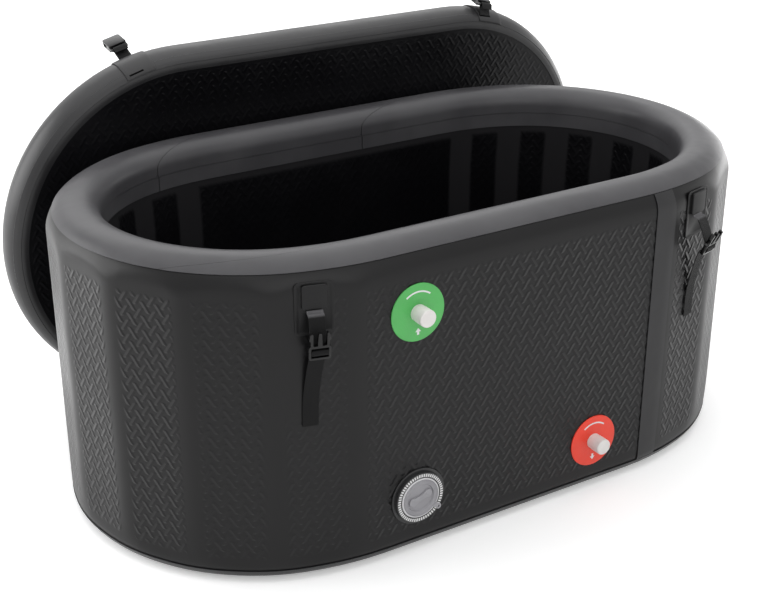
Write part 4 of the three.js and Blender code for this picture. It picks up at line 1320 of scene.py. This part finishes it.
def tubWebStations(place):
    # (out, up): from the slot, over the buckle's bar and down to the loose tail
    swing, lean = math.radians(place["swing"]), math.radians(place["lean"])
    out = strap["root"] + strap["reach"] * math.sin(swing)
    up = -strap["reach"] * math.cos(swing)
    axis = (math.sin(lean), math.cos(lean))
    upper = [(0.010, 0.0062), (0.0058, 0.0035), (0.0042, 0.0), (0.0036, -0.0035)]
    lower = [(-along, back) for along, back in reversed(upper)]
    woven = [(out + along * axis[0] - back * axis[1], up + along * axis[1] + back * axis[0])
             for along, back in upper + [(0.0, -0.0051)] + lower]
    lastOut, lastUp = woven[-1]
    end, off = strap["tailEnd"], strap["standOff"]
    tail = [(off + (lastOut - off) * 0.35, (2 * lastUp + end) / 3), (off, (lastUp + 2 * end) / 3), (off, end)]
    fold = [(strap["root"] + ahead, down) for ahead, down in strapFold]
    return [(strap["root"], 0.0)] + fold + woven + tail


def buildTubStrap(name, place):
    matrix = strapFrame(place)
    title = "".join(word.capitalize() for word in name.split("_"))
    plate = beadedPlate()
    cover = coverBlock()
    joinMeshes(plate, cover)
    piece = makePiece("strapPatch" + title, plate, "tape", patchTape, "strap_patch_" + name, matrix=matrix)
    p = patch
    slot = bmesh.new()
    bmesh.ops.create_cube(slot, size=1.0)
    bmesh.ops.scale(slot, vec=(2 * p["slotHalf"], p["slotFront"] - p["front"] + 0.0004, p["slotDepth"] + 0.001), verts=slot.verts)
    spot = (0, -(p["slotFront"] + p["front"]) / 2, p["coverLow"] + p["slotDepth"] / 2 - 0.0005)
    moveBy(slot, matrix @ Matrix.Translation(spot))
    cutAway(piece, slot, True)
    edgeOn = matrix @ Matrix(((0, 0, -1, 0), (-1, 0, 0, 0), (0, 1, 0, 0), (0, 0, 0, 1)))
    stations = tubWebStations(place)
    tape_ = ribbon(stations, edgeOn, place["drift"], len(stations) - 4)
    makePiece("strapWebbing" + title, tape_, "webbing", webbing, "strap_webbing_" + name)
    makePiece("strapBuckle" + title, buckleCopy("strap_buckle_" + name, 0.0005), "buckle_plastic", bucklePlastic, "strap_buckle_" + name)


patchTape = tapeMaterial("patchTape", {**tapeLook, "dark": (0.0036, 0.0035, 0.0038, 1.0), "light": (0.005, 0.0049, 0.0053, 1.0),
                                       "ripple": 0.0006, "rough": 0.42, "gloss": 0.26})
for name, place_ in strapPlaces.items():
    buildTubStrap(name, place_)


def smoothBeside(name, left, right):
    # the wall's skin is plain beside a strap's tail
    inverse = strapFrame(strapPlaces[name]).inverted()
    for vert, mark in zip(tubWall.data.vertices, tubWall.data.attributes["emboss"].data):
        spot = inverse @ vert.co
        if left < spot.x < right and abs(spot.y) < 0.003 and spot.z > strap["tailEnd"]:
            mark.value = 0.0


smoothBeside("front_left", -0.064, -0.010)
smoothBeside("back_left", -0.030, 0.030)
smoothBeside("back_right", -0.030, 0.030)
print("tub straps")


# Lid

lid = {
    "bulge": 0.027,
    "border": 0.031,
    "embossFrom": 0.036,
    "ridge": 42,  # degrees round the bulge, where the tape's thicker band starts
    "bandEnd": 70,
    "patchHalf": 0.029,
    "patchReach": 67.5,
    "patchLift": 0.0021,
    "patchTop": 0.0036,
    "strapAngle": 15,
    "slitLength": 0.0275,
    "slitDepth": 0.0012,  # stops inside the patch
    "loop": 0.0039284,
    "webReach": 0.020,
    "webReturn": 0.009,
    "valveRoom": 0.058,
    "webBow": 0.0024,  # from the webbing's root to where it bows most
}
lidPlaces = {
    "upper_left": {"end": -1, "side": 1, "slits": [(-46.5, 0.0, 0.0056), (56, -0.008, 0.0030)], "webLean": 60, "bow": 0.0005},
    "upper_right": {"end": 1, "side": 1, "slits": [(46.1, -0.014, 0.0052)], "webLean": 30, "bow": 0.0004},
    "lower_left": {"end": -1, "side": -1, "slits": [(-46.5, 0.0, 0.0056)], "webLean": 60, "bow": 0.0005},
    "lower_right": {"end": 1, "side": -1, "slits": [(-46.5, 0.0, 0.0056)], "webLean": 60, "bow": 0.0005},
}


def edgePoint(push, angle):
    turn = math.radians(angle)
    return lid["bulge"] - (lid["bulge"] + push) * math.cos(turn), (lidHalf + push) * math.sin(turn)


def moveSections(sections, matrix):
    return [[(matrix @ Vector(point), spot, mask) for point, spot, mask in section] for section in sections]


def buildLidPanel():
    edge = [(*edgePoint(0.0, -90 + 180 * i / 24), 0) for i in range(25)]
    face = [(lid["border"], 0), (lid["embossFrom"], 0), (lid["embossFrom"] + 0.006, 1), (0.12, 1)]
    profile = [(inset, -lidHalf, share) for inset, share in reversed(face)] + edge + [(inset, lidHalf, share) for inset, share in face]
    sections = [[(point, (point[0], point[1], 0.0), profile[i][2]) for point, spot, mask in section]
                for i, section in enumerate(ovalSections(lidOval, profile))]
    bm, layers, first, last = sweep(moveSections(sections, lidFrame), False)
    for edges in (first, last):
        bmesh.ops.edgeloop_fill(bm, edges=edges)
    mapFaces(bm, layers)
    # the faces are parted round the valve, so that its hole changes the skin close by alone
    for axis in (0, 2):
        for side in (-1, 1):
            away = lidValveFrame.col[axis].xyz * side
            bmesh.ops.bisect_plane(bm, geom=bm.verts[:] + bm.edges[:] + bm.faces[:],
                                   plane_co=lidValveFrame.translation + away * lid["valveRoom"], plane_no=away)
    piece = makePiece("lidPanel", bm, "skin", lidSkin, "lid_panel")
    cutHoles(piece, [(lidValveFrame, 0.0376, -0.01, 0.036)])


def lidTapeCurve(full, thin):
    # a thin layer over the crest, a thicker band from each ridge on, and a thin strip in over the faces
    low, high = lid["ridge"], lid["bandEnd"]
    crest = [edgePoint(thin, -low + 2 * low * i / 14) for i in range(15)]
    band = [edgePoint(full, low + 1.0 + (high - low - 1.0) * i / 4) for i in range(5)]
    strip = [edgePoint(thin, high + 1.0 + (89 - high) * i / 3) for i in range(4)]
    half = band + strip + [(lid["border"], lidHalf + thin)]
    other = [(inset, -z) for inset, z in reversed(half)]
    return other + crest + half


def buildLidTape():
    outerCurve = lidTapeCurve(lift, seatGap + tape["thinLayer"])
    innerCurve = lidTapeCurve(seatGap, seatGap)
    profile = [(inset, z, 0) for inset, z in outerCurve + innerCurve[::-1]]
    sections = moveSections(ovalSections(lidOval, profile), lidFrame)
    bm, layers, first, last = sweep(sections, True)
    mapFaces(bm, layers)
    makePiece("lidEdgeTape", bm, "tape", lidTape, "lid_edge_tape", sharp=30)


def buildLidPatch(name, place, title):
    # follows the lid's round end and its bulging edge
    radius = lidOval["width"] / 2
    side = lidOval["length"] / 2 - radius
    columns = 10
    sections = []
    rows = 18
    for push in (lid["patchTop"], lid["patchLift"]):
        layer = []
        for i in range(rows + 1):
            inset, z = edgePoint(push, -lid["patchReach"] + 2 * lid["patchReach"] * i / rows)
            section = []
            for k in range(columns + 1):
                off = lid["patchHalf"] * (2 * k / columns - 1)
                turn = math.radians(lid["strapAngle"]) + off / radius
                reach = radius - inset
                spot = Vector((place["end"] * (side + reach * math.sin(turn)), place["side"] * reach * math.cos(turn), z))
                section.append((lidFrame @ spot, (off, z, 0.0), 0.0))
            layer.append(section)
        sections += layer if push == lid["patchTop"] else layer[::-1]
    bm, layers, first, last = sweep(sections, False, ring=False)
    bmesh.ops.bridge_loops(bm, edges=first + last)
    mapFaces(bm, layers)
    bmesh.ops.holes_fill(bm, edges=bm.edges, sides=0)
    bmesh.ops.recalc_face_normals(bm, faces=bm.faces)
    bevelSharp(bm, 0.0005, 60, 2)
    piece = makePiece("lidStrapPatch" + title, bm, "tape", [lidPatchTape, slitInside], "lid_strap_patch_" + name)
    for angle, along, width in place["slits"]:
        inset, z = edgePoint(lid["patchTop"], angle)
        turn = math.radians(lid["strapAngle"]) + along * place["end"] * place["side"] / radius
        reach = radius - inset
        spot = Vector((place["end"] * (side + reach * math.sin(turn)), place["side"] * reach * math.cos(turn), z))
        outward = math.atan2(-place["end"] * math.sin(turn), place["side"] * math.cos(turn))
        groove = bmesh.new()
        bmesh.ops.create_cube(groove, size=1.0)
        bmesh.ops.scale(groove, vec=(lid["slitLength"], 2 * lid["slitDepth"], width), verts=groove.verts)
        lean = Matrix.Rotation(math.radians(angle), 4, "X")
        moveBy(groove, lidFrame @ Matrix.Translation(spot) @ Matrix.Rotation(outward, 4, "Z") @ lean)
        # the slit's cut walls and floor take the near-black material: painted shadow of the deep pocket the webbing
        # runs through
        cutAway(piece, groove, index=1)


def lidWebStations(place):
    lean = math.radians(place["webLean"])
    loop, reach = lid["loop"], lid["webReach"]
    bar = (loop * math.cos(lean) - reach * math.sin(lean), loop * math.sin(lean) + reach * math.cos(lean))

    def spot(along, over):
        return bar[0] - along * math.sin(lean) + over * math.cos(lean), bar[1] + along * math.cos(lean) + over * math.sin(lean)

    turn = [spot(loop * math.sin(math.pi * i / 4), -loop * math.cos(math.pi * i / 4)) for i in range(5)]
    # out of the slit it bows a little, so that it clears the patch when it swings down on it
    bowed = spot(lid["webBow"] - reach, place["bow"] - loop)
    return [(0.0, 0.0), bowed, spot(-reach / 2, -loop)] + turn + [spot(-lid["webReturn"], loop)]


def buildLidStrap(name, place):
    title = "".join(word.capitalize() for word in name.split("_"))
    buildLidPatch(name, place, title)
    facet = math.radians(lid["strapAngle"])
    turn = math.atan2(-place["end"] * math.sin(facet), place["side"] * math.cos(facet))
    root = next(joint["pos_m"] for joint in frame["joints"] if joint["name"] == "lid_strap_swing_" + name)
    pivot = Matrix.Translation(root) @ lidFrame.to_3x3().to_4x4() @ Matrix.Rotation(turn, 4, "Z")
    edgeOn = pivot @ Matrix(((0, 0, -1, 0), (0, 1, 0, 0), (1, 0, 0, 0), (0, 0, 0, 1)))
    makePiece("lidStrapWebbing" + title, ribbon(lidWebStations(place), edgeOn), "webbing", lidWebbing, "lid_strap_webbing_" + name)
    makePiece("lidStrapBuckle" + title, buckleCopy("lid_strap_buckle_" + name, 0.0006), "buckle_plastic", bucklePlastic, "lid_strap_buckle_" + name)


# the lid's skin takes the inside's darker colours, painted shade for its dim face, but no paler bands
lidSkin = skinMaterial("lidSkin", {**outerLook, **innerLook, "band": innerLook["light"], "slack": 0.0006})
lidPatchLook = {"dark": (0.0145, 0.0142, 0.0152, 1.0), "light": (0.018, 0.0177, 0.0188, 1.0), "ripple": 0.0006, "rough": 0.40}
lidPatchTape = tapeMaterial("lidPatchTape", {**tapeLook, **lidPatchLook})
# painted shadow for the inside of the slits in the lid's patches
slitShadowLook = {"dark": (0.0008, 0.0008, 0.0008, 1.0), "light": (0.0012, 0.0012, 0.0012, 1.0), "rough": 0.7, "gloss": 0.05}
slitInside = tapeMaterial("slitInside", {**tapeLook, **slitShadowLook})
lidTape = tapeMaterial("lidTape", {**tapeLook, "dark": (0.016, 0.0158, 0.017, 1.0), "light": (0.021, 0.0208, 0.022, 1.0)})
buildLidPanel()
buildLidTape()
for name, place_ in lidPlaces.items():
    buildLidStrap(name, place_)
print("lid and its straps")


# Stage, light and camera

stage = {
    "floorSize": 60.0,
    "floorColour": (0.97, 0.97, 0.97, 1.0),
    "floorGlow": 0.28,
    "farGlow": 1.0,  # the far floor is as white as the world behind it
    "farFrom": 2.4,
    "farEnd": 6.0,
    "worldFill": 0.52,
}


def seenRays(tree):
    # 1 for rays that show the background itself, straight or in a reflection
    path = tree.nodes.new("ShaderNodeLightPath")
    seen = calc(tree, "MAXIMUM", path.outputs["Is Camera Ray"], path.outputs["Is Glossy Ray"])
    return calc(tree, "MAXIMUM", seen, path.outputs["Is Transmission Ray"])


def buildStage():
    bm = bmesh.new()
    bmesh.ops.create_grid(bm, x_segments=1, y_segments=1, size=stage["floorSize"] / 2)
    mesh = bpy.data.meshes.new("studioFloor")
    bm.to_mesh(mesh)
    bm.free()
    ground = bpy.data.objects.new("studioFloor", mesh)
    ground.location.z = -0.0004
    bpy.context.scene.collection.objects.link(ground)
    material, tree, shader = newMaterial("studioFloor")
    shader.inputs["Base Color"].default_value = stage["floorColour"]
    shader.inputs["Roughness"].default_value = 0.9
    shader.inputs["Specular IOR Level"].default_value = 0.2
    shader.inputs["Emission Color"].default_value = (1.0, 1.0, 1.0, 1.0)
    away = tree.nodes.new("ShaderNodeVectorMath")
    away.operation = "LENGTH"
    tree.links.new(objectPlace(tree), away.inputs[0])
    glow = ramp(tree, away.outputs["Value"], stage["farFrom"], stage["farEnd"], stage["floorGlow"], stage["farGlow"])
    tree.links.new(calc(tree, "MULTIPLY", seenRays(tree), glow), shader.inputs["Emission Strength"])
    mesh.materials.append(material)


def buildWorld():
    world = bpy.data.worlds.new("studio")
    world.use_nodes = True
    bpy.context.scene.world = world
    tree = world.node_tree
    background = tree.nodes["Background"]
    background.inputs["Color"].default_value = (1.0, 1.0, 1.0, 1.0)
    fill = stage["worldFill"]
    tree.links.new(calc(tree, "MULTIPLY_ADD", seenRays(tree), 1 - fill, fill), background.inputs["Strength"])


def softLight(name, spot, target, size, power):
    data = bpy.data.lights.new(name, "AREA")
    data.shape = "RECTANGLE"
    data.size, data.size_y = size
    data.energy = power
    lamp = bpy.data.objects.new(name, data)
    bpy.context.scene.collection.objects.link(lamp)
    lamp.location = spot
    lamp.rotation_euler = (Vector(target) - Vector(spot)).to_track_quat("-Z", "Y").to_euler()


def buildLights():
    softLight("overhead", (0.1, 0.0, 2.8), (0.1, 0.0, 0), (3.8, 3.2), 48)
    softLight("backWash", (1.4, 3.8, 2.8), (1.4, 3.8, 0), (5.0, 3.6), 80)
    softLight("leftPanel", (-2.5, 1.5, 1.1), (-0.7, 0.4, 0.2), (2.4, 1.8), 48)
    softLight("rightPanel", (2.9, 0.6, 0.45), (0.7, 0.2, 0.2), (2.4, 0.9), 18)
    softLight("frontFill", (-0.6, -3.2, 2.2), (0.1, -0.5, 0.1), (3.2, 2.0), 24)


view = {
    "spot": (-1.2556, -1.9385, 1.3017),
    "azimuth": math.radians(-31.982),
    "elevation": math.radians(24.504),
    "lens": 66.1,
}


def buildCamera():
    data = bpy.data.cameras.new("camera")
    data.lens = view["lens"]
    data.sensor_width = 36.0
    camera = bpy.data.objects.new("camera", data)
    bpy.context.scene.collection.objects.link(camera)
    camera.location = view["spot"]
    camera.rotation_euler = (math.pi / 2 - view["elevation"], 0.0, view["azimuth"])
    bpy.context.scene.camera = camera


buildStage()
buildWorld()
buildLights()
buildCamera()
bpy.context.scene.view_settings.view_transform = "Standard"
print("stage, light and camera")
